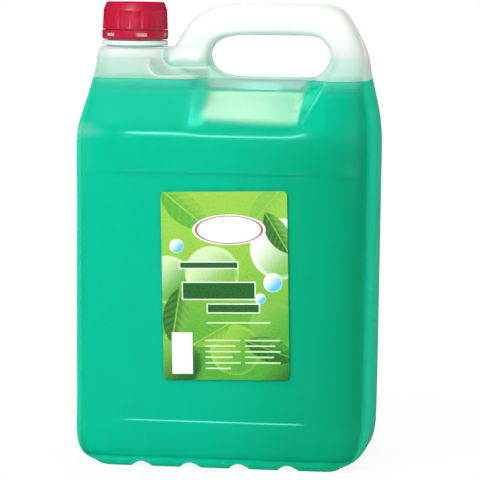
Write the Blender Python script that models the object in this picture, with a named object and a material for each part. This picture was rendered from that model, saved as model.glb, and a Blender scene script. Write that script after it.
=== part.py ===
"""Five-litre refill canister of liquid hand soap, with an integral handle and a screw cap.

Units are metres, +Z is up and +X is to the right. The front, which carries the label, faces -Y.
The origin is on the surface that the canister stands on, under the middle of its body.
"""

import math

import bmesh
import bpy
from mathutils import Matrix, Vector

# Body of the canister
HALF_WIDTH = 0.0952
HALF_DEPTH = 0.0645
CORNER_RADIUS = 0.0350
WALL = 0.0013
SHOULDER_HEIGHT = 0.2105
SHOULDER_SOFTNESS = 0.0040
SHOULDER_DROP_BACK = 0.0013
BASE_ROUND_OUT = 0.0140
BASE_ROUND_UP = 0.0270
BASE_ROUND_FRONT = 0.0090
BASE_ROUND_BLEND = 0.0085
BASE_CORNER_SHARE = 0.18
BASE_CORNER_DROP = 0.0200
SIDE_DRAFT = 0.0088
FOOT_DRAFT = 0.0020
FOOT_DRAFT_HEIGHT = 0.0600
RIM_SHARE = 0.811
ROUNDING_LIMIT = 0.75
SLOPE_ROUNDING = 0.85
HIP_ROUNDING = 0.55
COLLAR_ROUNDING = 0.45

# Recessed label panel on the front and on the back
PANEL_FOOT = 0.0300
PANEL_TOP_DROP = 0.0255
PANEL_RECESS = 0.0013
PANEL_STEP = 0.0015
PANEL_FLAT_MARGIN = 0.0070

# Grooves across the base
FOOT_GROOVES = 4
FOOT_GROOVE_PITCH = 0.0308
FOOT_GROOVE_WIDTH = 0.0150
FOOT_GROOVE_HEIGHT = 0.0033
FOOT_GROOVE_FULLNESS = 2.4
FOOT_GROOVE_STEPS = 8

# Handle, which is blown hollow with the body, and its finger hole
HANDLE_RISE = 0.0795
HANDLE_BAR_HEIGHT = 0.0200
HANDLE_HALF_DEPTH = 0.0130
HANDLE_EDGE_DROP = 0.0095
HANDLE_ROOT_LEAN = 0.0230
HANDLE_NECK_LEAN = 0.0170
HANDLE_NECK_RISE = 0.0016
HANDLE_CROWN_LEAN = 0.0077
HANDLE_CROWN_START = 0.0106
HANDLE_CROWN_DROP = 0.0060
HANDLE_CROWN_END = 0.0030
HANDLE_HEEL_INSET = 0.0096
HANDLE_HEEL_DROP = 0.0060
HOLE_HEIGHT = 0.0268
HOLE_LEFT_GAP = 0.0278
HOLE_RIGHT_INSET = 0.0305
HOLE_RIM = 0.0058
HOLE_END_START = 0.0080
HOLE_END_SHARE = 0.35
HOLE_TOP_TURN = 0.0185
HOLE_LIP_ROUNDING = 2.6
HOLE_FOOT_ROUNDING = 2.0
LEG_OUTLINE_INSET = 0.0109
LEG_DEPTH_GAIN = 0.0075
LEG_BULGE = 0.0035
LEG_FRONT_INSET = 0.0100
LEG_HIP_SPREAD = 0.0018
LEG_FOOT_SPREAD = 0.0038
LEG_MIDDLE_SPREAD = 0.0026
LEG_TOP_INSET = 0.0025
LEG_TOP_RISE = 0.0011
LEG_FOOT_ROUNDING = 1.9
LEG_TOP_ROUNDING = 1.5

# Where the front of the handle is deepest, measured from the hole and from the outline
BAR_FRONT_NECK = 0.0112
BAR_FRONT_START = 0.0027
BAR_FRONT_END = 0.0022
BAR_FRONT_LEG_INSET = 0.0105
BAR_FRONT_CLIMB = 0.0012
CROWN_FRONT_NECK = 0.0047
CROWN_FRONT_START = 0.0068
CROWN_FRONT_END = 0.0035
CROWN_FRONT_LEG_INSET = 0.0150
CROWN_FRONT_DROP = 0.0033

# Grip recess below the handle
RECESS_HALF_DEPTH = 0.0140
RECESS_LIP_HEIGHT = 0.0087
RECESS_WALL_SHIFT = 0.0002
RECESS_FLOOR_INSET = 0.0467
RECESS_EDGE_SOFTNESS = 0.0030
RECESS_EDGE_LEAN = 0.0100
CREASE_FOOT_INSET = 0.0477
CREASE_SLOPE = 0.5800
SLOPE_RISE = 0.0132
SLOPE_FULLNESS = 0.0030

# Turret that carries the neck, and the shelf between it and the handle
TURRET_DROP = 0.0280
TURRET_HALF_WIDTH = 0.0211
TURRET_HALF_DEPTH = 0.0222
TURRET_CORNER_RADIUS = 0.0080
TURRET_EDGE_RADIUS = 0.0060
TURRET_FRONT_EDGE_INSET = 0.0077
TURRET_FOOT_SPREAD = 0.0092
TURRET_FOOT_OVERHANG = 0.0018
SLAB_HALF_DEPTH = 0.0365
SHELF_RISE = 0.0014
SHELF_HALF_DEPTH = 0.0150
WEB_FOOT_RISE = 0.0068
WEB_HALF_DEPTH = 0.0125
WEB_TOP_DROP = 0.0008
WEB_TOP_START = 0.0045
WEB_TOP_MIDDLE = 0.0015

# How crisp the moulded edges are, from 0 for round to 1 for sharp
TURRET_EDGE_CRISPNESS = 0.80
WEB_FOOT_CRISPNESS = 0.70
RECESS_FOOT_CRISPNESS = 0.80
RECESS_SIDE_CRISPNESS = 0.45
COLUMN_EDGE_CRISPNESS = 0.70
SHOULDER_CRISPNESS = 0.20
TURRET_CORNER_CRISPNESS = 0.50

# Neck and its right-hand thread
NECK_INSET = 0.0326
NECK_RADIUS = 0.0174
NECK_BORE_RADIUS = 0.0154
FLANGE_RADIUS = 0.0209
FLANGE_RISE = 0.0006
FLANGE_THICKNESS = 0.0029
THREAD_PITCH = 0.0040
THREAD_TURNS = 1.75
THREAD_DEPTH = 0.0009
THREAD_ROOT_WIDTH = 0.0021
THREAD_CREST_WIDTH = 0.0009
THREAD_START = math.radians(3.0)
THREAD_END_SHARE = 0.25
THREAD_FADE_TURN = 1 / 6
LOCK_BEAD_DEPTH = 0.0020
LOCK_BEAD_SHARE = 0.55
LOCK_BEAD_LAND = 0.0005
LOCK_BEAD_HEIGHT = 0.0016
NECK_EDGE_RADIUS = 0.0006

# Closure
CAP_RADIUS = 0.0208
CAP_DRAFT = 0.0004
CAP_SKIRT = 0.0159
CAP_PLATE = 0.0015
CAP_TAPER_HEIGHT = 0.0052
CAP_TAPER = 0.0018
CAP_TOP_CHAMFER = 0.0007
CAP_RIBS = 18
CAP_GROOVE_DEPTH = 0.0005
CAP_GROOVE_ANGLE = math.radians(3.2)
CAP_GROOVE_MARGIN = 0.0009
RING_RADIUS = 0.0211
RING_HEIGHT = 0.0058
RING_STAND_OFF = 0.0008
RING_FOOT_CHAMFER = 0.0009
RING_SLIT = 0.0005
RING_LIP_SLOPE = 0.0006
RING_WINDOWS = 6
RING_WINDOW_WIDTH = 0.0071
RING_WINDOW_HEIGHT = 0.0021
RING_WINDOW_TURN = math.radians(21.0)
BRIDGES = 12
BRIDGE_WIDTH = 0.0011
LINER_THICKNESS = 0.0009

# Label and contents
LABEL_WIDTH = 0.0790
LABEL_FOOT_MARGIN = 0.02715
LABEL_TOP_MARGIN = 0.01035
LABEL_CORNER_RADIUS = 0.0025
LABEL_THICKNESS = 0.0003
LABEL_X = 0.0066
LABEL_TURN = math.radians(1.5)
FILL_DROP = 0.0004

# Clearances
GAP = 0.0003
RUNNING_GAP = 0.00035
OVERLAP = 0.0006

# Fineness of round pieces
SEGMENTS = 48
THREAD_STEPS = 24

NECK_X = -(HALF_WIDTH - NECK_INSET)
PANEL_TOP = SHOULDER_HEIGHT - PANEL_TOP_DROP
LABEL_FOOT = PANEL_FOOT + LABEL_FOOT_MARGIN
LABEL_TOP = PANEL_TOP - LABEL_TOP_MARGIN
HANDLE_TOP = SHOULDER_HEIGHT + HANDLE_RISE
TURRET_TOP = HANDLE_TOP - TURRET_DROP
HOLE_TOP = HANDLE_TOP - HANDLE_BAR_HEIGHT
HOLE_BOTTOM = HOLE_TOP - HOLE_HEIGHT
TURRET_LEFT = NECK_X - TURRET_HALF_WIDTH
TURRET_RIGHT = NECK_X + TURRET_HALF_WIDTH
HOLE_LEFT = TURRET_RIGHT + HOLE_LEFT_GAP
HOLE_RIGHT = HALF_WIDTH - HOLE_RIGHT_INSET
RECESS_WALL_LEFT = HOLE_LEFT + RECESS_WALL_SHIFT
RECESS_FLOOR_RIGHT = HALF_WIDTH - RECESS_FLOOR_INSET
CREASE_FOOT_X = HALF_WIDTH - CREASE_FOOT_INSET
HOLE_MIDDLE_X = (HOLE_LEFT + HOLE_RIGHT) / 2 - HOLE_RIM
LEG_RIGHT = HALF_WIDTH - LEG_OUTLINE_INSET
LEG_HALF_DEPTH = SLAB_HALF_DEPTH + LEG_DEPTH_GAIN
FILL_LEVEL = HOLE_BOTTOM - FILL_DROP
NECK_ROOT = TURRET_TOP - 2 * TURRET_EDGE_RADIUS
FLANGE_BOTTOM = TURRET_TOP + FLANGE_RISE
FLANGE_TOP = FLANGE_BOTTOM + FLANGE_THICKNESS
RING_BOTTOM = FLANGE_TOP + RING_STAND_OFF
RING_TOP = RING_BOTTOM + RING_HEIGHT
CAP_BOTTOM = RING_TOP + RING_SLIT
CAP_CEILING = CAP_BOTTOM + CAP_SKIRT
CAP_TOP = CAP_CEILING + CAP_PLATE
LINER_BOTTOM = CAP_CEILING - GAP - LINER_THICKNESS
NECK_TOP = LINER_BOTTOM - GAP
THREAD_CREST_RADIUS = NECK_RADIUS + THREAD_DEPTH
CAP_BORE_RADIUS = THREAD_CREST_RADIUS + RUNNING_GAP
CAP_THREAD_CREST_RADIUS = NECK_RADIUS + RUNNING_GAP
LOCK_BEAD_RADIUS = NECK_RADIUS + LOCK_BEAD_DEPTH
RING_BORE_RADIUS = LOCK_BEAD_RADIUS + RUNNING_GAP
THREAD_BOTTOM = CAP_BOTTOM + THREAD_ROOT_WIDTH


def remove_everything():
    for old in list(bpy.data.objects):
        bpy.data.objects.remove(old, do_unlink=True)


def material(name, colour, roughness, alpha=1.0):
    """Plain plastic or liquid finish."""
    finish = bpy.data.materials.new(name)
    finish.use_nodes = True
    shader = finish.node_tree.nodes["Principled BSDF"]
    shader.inputs["Base Color"].default_value = (*colour, 1.0)
    shader.inputs["Roughness"].default_value = roughness
    shader.inputs["Metallic"].default_value = 0.0
    shader.inputs["Alpha"].default_value = alpha
    return finish


def new_object(name, bm, finish=None, location=(0.0, 0.0, 0.0)):
    """Object made from a bmesh whose faces are turned to point outwards."""
    bmesh.ops.recalc_face_normals(bm, faces=bm.faces)
    mesh = bpy.data.meshes.new(name)
    bm.to_mesh(mesh)
    bm.free()
    obj = bpy.data.objects.new(name, mesh)
    obj.location = location
    bpy.context.scene.collection.objects.link(obj)
    if finish:
        mesh.materials.append(finish)
    return obj


def as_tool(obj):
    """Marks a shape that only cuts or joins another one."""
    obj.hide_render = True
    obj.display_type = "WIRE"
    return obj


def combine(target, tool, operation):
    step = target.modifiers.new(operation.title() + " " + tool.name, "BOOLEAN")
    step.operation = operation
    step.object = as_tool(tool)
    step.solver = "EXACT"


def smooth(obj, angle=math.radians(35.0)):
    obj.data.shade_smooth()
    obj.data.set_sharp_from_angle(angle=angle)


def turned(outline, segments=SEGMENTS):
    """Solid of revolution about Z; the outline of (radius, height) points ends on the axis or closes."""
    bm = bmesh.new()
    points = [bm.verts.new((radius, 0.0, height)) for radius, height in outline]
    edges = [bm.edges.new(pair) for pair in zip(points, points[1:])]
    if outline[0][0] > 0.0:
        edges.append(bm.edges.new((points[-1], points[0])))
    bmesh.ops.spin(bm, geom=points + edges, cent=(0.0, 0.0, 0.0), axis=(0.0, 0.0, 1.0),
                   angle=math.tau, steps=segments, use_merge=True)
    bmesh.ops.remove_doubles(bm, verts=bm.verts, dist=0.00001)
    return bm


def helical_ridge(root_radius, crest_radius, start, phase):
    """One thread ridge, a trapezium swept up a right-hand helix and faded out at both ends."""
    bm = bmesh.new()
    steps = round(THREAD_TURNS * THREAD_STEPS)
    fade = THREAD_STEPS * THREAD_FADE_TURN
    rings = []
    for step in range(steps + 1):
        turn = step / THREAD_STEPS
        angle = math.tau * turn + phase
        rise = start + THREAD_PITCH * turn
        shown = min(1.0, THREAD_END_SHARE + (1.0 - THREAD_END_SHARE) * min(step, steps - step) / fade)
        reach = root_radius + (crest_radius - root_radius) * shown
        section = [(root_radius, -THREAD_ROOT_WIDTH / 2), (reach, -THREAD_CREST_WIDTH / 2),
                   (reach, THREAD_CREST_WIDTH / 2), (root_radius, THREAD_ROOT_WIDTH / 2)]
        rings.append([bm.verts.new((radius * math.cos(angle), radius * math.sin(angle), rise + height))
                      for radius, height in section])
    for lower, upper in zip(rings, rings[1:]):
        for side in range(4):
            after = (side + 1) % 4
            bm.faces.new((lower[side], lower[after], upper[after], upper[side]))
    bm.faces.new(rings[0])
    bm.faces.new(rings[-1])
    return bm


# Column and row numbers of the control grid that shapes one mould half, seen from the front
LEFT, SLAB_A, SLAB_B, SLAB_EDGE, RECESS_A, RECESS_B, RECESS_C, CREASE, RIGHT = range(9)
(FOOT, PANEL_A, PANEL_B, PANEL_C, PANEL_D, PANEL_E, BAND,
 SHOULDER, SLOPE, LIP, SHELF, ROOT, BAR, CROWN) = range(14)


def crease_x(height):
    """The slanting edge at the right of the grip recess."""
    return CREASE_FOOT_X + CREASE_SLOPE * (height - SHOULDER_HEIGHT)


def side_x(height):
    """Half width of the outline on the parting line, which leans in above the shoulder and at the foot."""
    above = max(0.0, height - SHOULDER_HEIGHT) / (HOLE_BOTTOM - SHOULDER_HEIGHT)
    below = max(0.0, FOOT_DRAFT_HEIGHT - height) / FOOT_DRAFT_HEIGHT
    return HALF_WIDTH - SIDE_DRAFT * above - FOOT_DRAFT * below


def leg_half_depth(height):
    """The right leg of the handle gets thinner from the shoulder's column up to the bar."""
    share = (height - HOLE_BOTTOM) / HOLE_HEIGHT
    return LEG_HALF_DEPTH + (HANDLE_HALF_DEPTH - LEG_HALF_DEPTH) * share


def front_grid():
    """Control points (x, height, half depth) of the front, row by row from the foot up."""
    flat = HALF_WIDTH - CORNER_RADIUS
    soft = RECESS_EDGE_SOFTNESS
    turret_edge = TURRET_RIGHT - TURRET_FRONT_EDGE_INSET
    columns = [-flat, turret_edge, TURRET_RIGHT, RECESS_WALL_LEFT - soft, RECESS_WALL_LEFT + soft,
               HOLE_MIDDLE_X, CREASE_FOOT_X - soft, CREASE_FOOT_X + soft, flat]

    def level(height, depth):
        return [(x, height, depth) for x in columns]

    recessed = HALF_DEPTH - PANEL_RECESS
    rows = [level(PANEL_FOOT - PANEL_STEP, HALF_DEPTH),
            level(PANEL_FOOT + PANEL_STEP, recessed),
            level(PANEL_FOOT + PANEL_STEP + PANEL_FLAT_MARGIN, recessed),
            level(PANEL_TOP - PANEL_STEP - PANEL_FLAT_MARGIN, recessed),
            level(PANEL_TOP - PANEL_STEP, recessed),
            level(PANEL_TOP + PANEL_STEP, HALF_DEPTH),
            level(SHOULDER_HEIGHT - SHOULDER_SOFTNESS, HALF_DEPTH),
            level(SHOULDER_HEIGHT + SHOULDER_SOFTNESS / 2, HALF_DEPTH - SHOULDER_DROP_BACK)]

    slope = SHOULDER_HEIGHT + SLOPE_RISE
    lip = HOLE_BOTTOM - RECESS_LIP_HEIGHT
    slab_slope = (HALF_DEPTH + SLAB_HALF_DEPTH) / 2 + SLOPE_FULLNESS
    floor_slope = (HALF_DEPTH + RECESS_HALF_DEPTH) / 2
    rows.append([(-flat - soft / 2, slope, slab_slope), (turret_edge, slope, slab_slope),
                 (TURRET_RIGHT, slope, slab_slope), (RECESS_WALL_LEFT - soft, slope, slab_slope),
                 (RECESS_WALL_LEFT + soft, slope, floor_slope), (HOLE_MIDDLE_X, slope, floor_slope),
                 (RECESS_FLOOR_RIGHT - soft / 2, slope, floor_slope),
                 (crease_x(slope), slope, slab_slope + soft / 2), (flat + soft, slope, slab_slope + soft)])

    shelf = HOLE_BOTTOM + SHELF_RISE
    leg_front = LEG_RIGHT - LEG_FRONT_INSET
    rows.append([(TURRET_LEFT + TURRET_CORNER_RADIUS + TURRET_FOOT_SPREAD, HOLE_BOTTOM, SLAB_HALF_DEPTH),
                 (turret_edge + soft, shelf, SLAB_HALF_DEPTH), (TURRET_RIGHT + soft, shelf, SLAB_HALF_DEPTH),
                 (RECESS_WALL_LEFT - soft, shelf, SLAB_HALF_DEPTH),
                 (RECESS_WALL_LEFT + soft, lip, RECESS_HALF_DEPTH), (HOLE_MIDDLE_X, lip, RECESS_HALF_DEPTH),
                 (RECESS_FLOOR_RIGHT, lip, RECESS_HALF_DEPTH),
                 (crease_x(HOLE_BOTTOM), HOLE_BOTTOM, LEG_HALF_DEPTH),
                 (leg_front, HOLE_BOTTOM, LEG_HALF_DEPTH)])

    web_foot = HOLE_BOTTOM + WEB_FOOT_RISE
    hole_left = HOLE_LEFT - HOLE_RIM
    hole_right = HOLE_RIGHT + HOLE_RIM
    low = HOLE_BOTTOM + HOLE_END_SHARE * HOLE_HEIGHT
    high = HOLE_TOP - HOLE_END_SHARE * HOLE_HEIGHT
    rows.append([(TURRET_LEFT + TURRET_CORNER_RADIUS + TURRET_FOOT_SPREAD / 2, web_foot,
                  (SLAB_HALF_DEPTH + TURRET_HALF_DEPTH) / 2),
                 (turret_edge, web_foot + soft / 2, (SLAB_HALF_DEPTH + TURRET_HALF_DEPTH) / 2),
                 (TURRET_RIGHT + soft, web_foot, SHELF_HALF_DEPTH),
                 (hole_left - RECESS_EDGE_LEAN, web_foot, SHELF_HALF_DEPTH),
                 (hole_left, low, SHELF_HALF_DEPTH), None, None,
                 (hole_right, low, leg_half_depth(low) - LEG_BULGE),
                 (leg_front, low, leg_half_depth(low) - LEG_BULGE)])

    eaves = TURRET_TOP - TURRET_EDGE_RADIUS
    rows.append([(TURRET_LEFT + TURRET_CORNER_RADIUS, eaves, TURRET_HALF_DEPTH),
                 (turret_edge, eaves, TURRET_HALF_DEPTH), (TURRET_RIGHT, eaves, WEB_HALF_DEPTH),
                 (hole_left - RECESS_EDGE_LEAN, eaves, WEB_HALF_DEPTH),
                 (hole_left, high, WEB_HALF_DEPTH), None, None,
                 (hole_right, high, leg_half_depth(high) - LEG_BULGE),
                 (leg_front, high, leg_half_depth(high) - LEG_BULGE)])

    bar = HOLE_TOP + HOLE_RIM
    crown = HANDLE_TOP - HOLE_RIM
    depth = HANDLE_HALF_DEPTH
    climb = BAR_FRONT_CLIMB
    rows.append([None, None, None, (HOLE_LEFT - BAR_FRONT_NECK, HOLE_TOP + climb, depth),
                 (HOLE_LEFT - BAR_FRONT_START, HOLE_TOP + 2 * climb, depth), (HOLE_MIDDLE_X, bar, depth),
                 (HOLE_RIGHT - HOLE_TOP_TURN, bar, depth),
                 (HOLE_RIGHT + BAR_FRONT_END, HOLE_TOP + 3 * climb, depth),
                 (LEG_RIGHT - BAR_FRONT_LEG_INSET, HOLE_TOP + 4 * climb, depth)])
    rows.append([None, None, None, (HOLE_LEFT - CROWN_FRONT_NECK, crown - CROWN_FRONT_DROP, depth),
                 (HOLE_LEFT + CROWN_FRONT_START, crown, depth), (HOLE_MIDDLE_X, crown, depth),
                 (HOLE_RIGHT - HOLE_TOP_TURN, crown, depth), (HOLE_RIGHT - CROWN_FRONT_END, crown, depth),
                 (LEG_RIGHT - CROWN_FRONT_LEG_INSET, crown - CROWN_FRONT_DROP, depth)])
    return rows


def parting_outline():
    """Where the rim of the front meets the parting plane: (x, height, depth of the rounding)."""
    grid = front_grid()
    foot = HALF_WIDTH - BASE_ROUND_OUT
    spread = foot / (HALF_WIDTH - CORNER_RADIUS - BASE_ROUND_BLEND)
    outline = {}
    for column, (x, _, _) in enumerate(grid[FOOT]):
        outline[FOOT, column] = (max(-foot, min(foot, x * spread)), 0.0, BASE_ROUND_FRONT)
    corner_x = HALF_WIDTH - BASE_ROUND_OUT * BASE_CORNER_SHARE
    corner_z = BASE_ROUND_UP * BASE_CORNER_SHARE
    outline[FOOT, LEFT] = (-corner_x, corner_z, BASE_CORNER_DROP)
    outline[FOOT, RIGHT] = (corner_x, corner_z, BASE_CORNER_DROP)
    rounding = {SLOPE: SLOPE_ROUNDING, LIP: HIP_ROUNDING, SHELF: COLLAR_ROUNDING}
    for row in range(PANEL_A, ROOT):
        height = grid[row][RIGHT][1]
        drop = CORNER_RADIUS * rounding.get(row, 1.0)
        outline[row, LEFT] = (-side_x(height), height, drop)
        outline[row, RIGHT] = (side_x(height) + LEG_HIP_SPREAD * (row >= SLOPE), height, drop)

    drop = HANDLE_EDGE_DROP
    edge = TURRET_EDGE_RADIUS
    low = HOLE_BOTTOM + HOLE_END_SHARE * HOLE_HEIGHT
    high = HOLE_TOP - HOLE_END_SHARE * HOLE_HEIGHT
    outline[SHELF, LEFT] = (TURRET_LEFT - TURRET_FOOT_OVERHANG, HOLE_BOTTOM + WEB_FOOT_RISE,
                            CORNER_RADIUS * COLLAR_ROUNDING)
    outline[SHELF, RIGHT] = (LEG_RIGHT + LEG_FOOT_SPREAD, low, drop * LEG_FOOT_ROUNDING)
    outline[ROOT, LEFT] = (TURRET_LEFT, TURRET_TOP, edge)
    outline[ROOT, SLAB_A] = (TURRET_RIGHT - WEB_TOP_START, TURRET_TOP, edge)
    outline[ROOT, SLAB_B] = (TURRET_RIGHT + WEB_TOP_MIDDLE, TURRET_TOP, drop)
    outline[ROOT, SLAB_EDGE] = (HOLE_LEFT - HANDLE_ROOT_LEAN, TURRET_TOP - WEB_TOP_DROP, drop)
    outline[BAR, SLAB_EDGE] = (HOLE_LEFT - HANDLE_NECK_LEAN, HOLE_TOP + HANDLE_NECK_RISE, drop)
    outline[CROWN, SLAB_EDGE] = (HOLE_LEFT - HANDLE_CROWN_LEAN, HANDLE_TOP - HANDLE_CROWN_DROP, drop)
    outline[CROWN, RECESS_A] = (HOLE_LEFT + HANDLE_CROWN_START, HANDLE_TOP, drop)
    outline[CROWN, RECESS_B] = (HOLE_MIDDLE_X, HANDLE_TOP, drop)
    outline[CROWN, RECESS_C] = (HOLE_RIGHT - HOLE_TOP_TURN, HANDLE_TOP, drop)
    outline[CROWN, CREASE] = (HOLE_RIGHT + HANDLE_CROWN_END, HANDLE_TOP, drop)
    outline[CROWN, RIGHT] = (LEG_RIGHT - HANDLE_HEEL_INSET, HANDLE_TOP - HANDLE_HEEL_DROP, drop)
    outline[BAR, RIGHT] = (LEG_RIGHT - LEG_TOP_INSET, HOLE_TOP + LEG_TOP_RISE, drop)
    outline[ROOT, RIGHT] = (LEG_RIGHT + LEG_MIDDLE_SPREAD, high, drop * LEG_TOP_ROUNDING)

    # Finger hole, a slot with round ends
    outline[LIP, RECESS_A] = (HOLE_LEFT + HOLE_END_START, HOLE_BOTTOM, drop)
    outline[LIP, RECESS_B] = (HOLE_MIDDLE_X, HOLE_BOTTOM, drop)
    outline[LIP, RECESS_C] = (HOLE_RIGHT - HOLE_TOP_TURN, HOLE_BOTTOM, drop)
    outline[LIP, CREASE] = (HOLE_RIGHT - HOLE_END_START, HOLE_BOTTOM, drop * HOLE_LIP_ROUNDING)
    outline[SHELF, CREASE] = (HOLE_RIGHT, low, drop * HOLE_FOOT_ROUNDING)
    outline[ROOT, CREASE] = (HOLE_RIGHT, high, drop * LEG_TOP_ROUNDING)
    outline[SHELF, RECESS_A] = (HOLE_LEFT, low, drop)
    outline[ROOT, RECESS_A] = (HOLE_LEFT, high, drop)
    outline[BAR, CREASE] = (HOLE_RIGHT - HOLE_END_START, HOLE_TOP, drop)
    outline[BAR, RECESS_C] = (HOLE_RIGHT - HOLE_TOP_TURN, HOLE_TOP, drop)
    outline[BAR, RECESS_B] = (HOLE_MIDDLE_X, HOLE_TOP, drop)
    outline[BAR, RECESS_A] = (HOLE_LEFT + HOLE_END_START, HOLE_TOP, drop)
    return outline


def moulded_edges():
    """Pairs of neighbouring grid points whose edge is crisper than the rest, with its crispness."""
    lines = [(TURRET_EDGE_CRISPNESS, [(ROOT, SLAB_A), (SHELF, SLAB_A), (LIP, SLAB_A), (LIP, SLAB_B),
                                      (LIP, SLAB_EDGE)]),
             (WEB_FOOT_CRISPNESS, [(ROOT, SLAB_B), (SHELF, SLAB_B), (SHELF, SLAB_EDGE)]),
             (RECESS_FOOT_CRISPNESS, [(LIP, RECESS_A), (LIP, RECESS_B), (LIP, RECESS_C)]),
             (RECESS_SIDE_CRISPNESS, [(SHOULDER, SLAB_EDGE), (SLOPE, SLAB_EDGE), (LIP, SLAB_EDGE)]),
             (RECESS_SIDE_CRISPNESS, [(SLOPE, RECESS_A), (LIP, RECESS_A)]),
             (RECESS_SIDE_CRISPNESS, [(SLOPE, RECESS_C), (LIP, RECESS_C)]),
             (COLUMN_EDGE_CRISPNESS, [(SHOULDER, CREASE), (SLOPE, CREASE), (LIP, CREASE)]),
             (SHOULDER_CRISPNESS, [(SHOULDER, column) for column in range(LEFT, RIGHT + 1)])]
    crispness = {}
    for amount, points in lines:
        for pair in zip(points, points[1:]):
            crispness[frozenset(pair)] = amount
    return crispness


def body_cage():
    """Control cage of the blown body: a front sheet rolled round its rim to the parting plane, mirrored."""
    rows = front_grid()
    outline = parting_outline()
    bm = bmesh.new()
    columns = len(rows[0])
    made = bmesh.ops.create_grid(bm, x_segments=columns - 1, y_segments=len(rows) - 1, size=1.0)
    place = {}
    for number, vertex in enumerate(made["verts"]):
        row, column = divmod(number, columns)
        place[vertex] = (row, column)
        if rows[row][column]:
            x, height, depth = rows[row][column]
            vertex.co = (x, -depth, height)
    inside = [face for face in bm.faces if not kept(min(place[v] for v in face.verts))]
    bmesh.ops.delete(bm, geom=inside, context="FACES")
    place = {vertex: key for vertex, key in place.items() if vertex.is_valid}

    crease = bm.edges.layers.float.new("crease_edge")
    crispness = moulded_edges()
    for edge in bm.edges:
        edge[crease] = crispness.get(frozenset(place[vertex] for vertex in edge.verts), 0.0)
    rim = [edge for edge in bm.edges if edge.is_boundary]
    for along, across, depth_kept in ((RIM_SHARE, 1.0 - RIM_SHARE, None), (1.0, 1.0, None), (1.0, 1.0, 0.0)):
        rolled = bmesh.ops.extrude_edge_only(bm, edges=rim)
        fresh = {item for item in rolled["geom"] if isinstance(item, bmesh.types.BMVert)}
        rim = [item for item in rolled["geom"] if isinstance(item, bmesh.types.BMEdge) and item.is_boundary]
        for vertex in fresh:
            source = next(edge.other_vert(vertex) for edge in vertex.link_edges
                          if edge.other_vert(vertex) not in fresh)
            row, column = place[source]
            place[vertex] = (row, column)
            x, height, depth = rows[row][column]
            end_x, end_height, drop = outline[row, column]
            rounding = min(drop, depth * ROUNDING_LIMIT) * across
            kept_depth = depth - rounding if depth_kept is None else depth_kept
            vertex.co = (x + (end_x - x) * along, -kept_depth, height + (end_height - height) * along)
            if (row, column) == (ROOT, LEFT):
                for edge in vertex.link_edges:
                    if edge.other_vert(vertex) not in fresh:
                        edge[crease] = TURRET_CORNER_CRISPNESS
        if along == 1.0:
            for edge in rim:
                if all(place[v][0] == FOOT and abs(v.co.z) < 0.000001 for v in edge.verts):
                    edge[crease] = 1.0
    bmesh.ops.mirror(bm, geom=bm.verts[:] + bm.edges[:] + bm.faces[:], matrix=Matrix.Identity(4),
                     merge_dist=0.00002, axis="Y")
    return bm


def kept(corner):
    """True where the sheet has material in the cell above and to the right of a grid corner."""
    row, column = corner
    if row < LIP:
        return True
    if row in (LIP, SHELF):
        return column < RECESS_A or column == CREASE
    if row == ROOT:
        return column in (SLAB_EDGE, CREASE)
    return column >= SLAB_EDGE


def body_solid(inset):
    """Bmesh of the body as blown, one subdivision finer than its cage and moved inwards by inset."""
    cage = new_object("body_cage", body_cage())
    finer = cage.modifiers.new("Rounding", "SUBSURF")
    finer.levels = 1
    finer.render_levels = 1
    bpy.context.view_layer.update()
    evaluated = cage.evaluated_get(bpy.context.evaluated_depsgraph_get())
    bm = bmesh.new()
    bm.from_mesh(evaluated.to_mesh())
    evaluated.to_mesh_clear()
    old_mesh = cage.data
    bpy.data.objects.remove(cage)
    bpy.data.meshes.remove(old_mesh)
    bmesh.ops.triangulate(bm, faces=bm.faces, quad_method="SHORT_EDGE")
    bm.normal_update()
    moved = {vertex: vertex.co - vertex.normal * inset for vertex in bm.verts}
    for vertex, place in moved.items():
        vertex.co = place
    return bm


def foot_grooves(name, inset):
    """Arched bars that cut the grooves across the base, or their raised backs when inset."""
    bm = bmesh.new()
    steps = FOOT_GROOVE_STEPS
    half_width = FOOT_GROOVE_WIDTH / 2 + inset
    height = FOOT_GROOVE_HEIGHT + inset
    length = HALF_DEPTH * 2.4
    for number in range(FOOT_GROOVES):
        centre = (number - (FOOT_GROOVES - 1) / 2) * FOOT_GROOVE_PITCH
        arch = []
        for step in range(steps + 1):
            share = 2.0 * step / steps - 1.0
            rise = height * (1.0 - abs(share) ** FOOT_GROOVE_FULLNESS)
            arch.append(bm.verts.new((centre + share * half_width, -length / 2, rise)))
        below = [bm.verts.new((centre + half_width, -length / 2, -height)),
                 bm.verts.new((centre - half_width, -length / 2, -height))]
        end = bm.faces.new(arch + below)
        far = bmesh.ops.extrude_face_region(bm, geom=[end])["geom"]
        bmesh.ops.translate(bm, verts=[v for v in far if isinstance(v, bmesh.types.BMVert)],
                            vec=(0.0, length, 0.0))
    return new_object(name, bm)


def neck_outline():
    """Outer form of the neck: flange, lock bead, threaded wall and pouring rim."""
    bead = RING_BOTTOM + RING_HEIGHT * LOCK_BEAD_SHARE
    rim = NECK_EDGE_RADIUS
    return [(0.0, NECK_ROOT), (NECK_RADIUS + OVERLAP, NECK_ROOT), (NECK_RADIUS + OVERLAP, FLANGE_BOTTOM),
            (FLANGE_RADIUS - rim, FLANGE_BOTTOM), (FLANGE_RADIUS, FLANGE_BOTTOM + rim),
            (FLANGE_RADIUS, FLANGE_TOP - rim), (FLANGE_RADIUS - rim, FLANGE_TOP),
            (NECK_RADIUS, FLANGE_TOP), (NECK_RADIUS, bead), (LOCK_BEAD_RADIUS, bead),
            (LOCK_BEAD_RADIUS, bead + LOCK_BEAD_LAND), (NECK_RADIUS, bead + LOCK_BEAD_HEIGHT),
            (NECK_RADIUS, NECK_TOP - rim), (NECK_RADIUS - rim, NECK_TOP), (0.0, NECK_TOP)]


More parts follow.
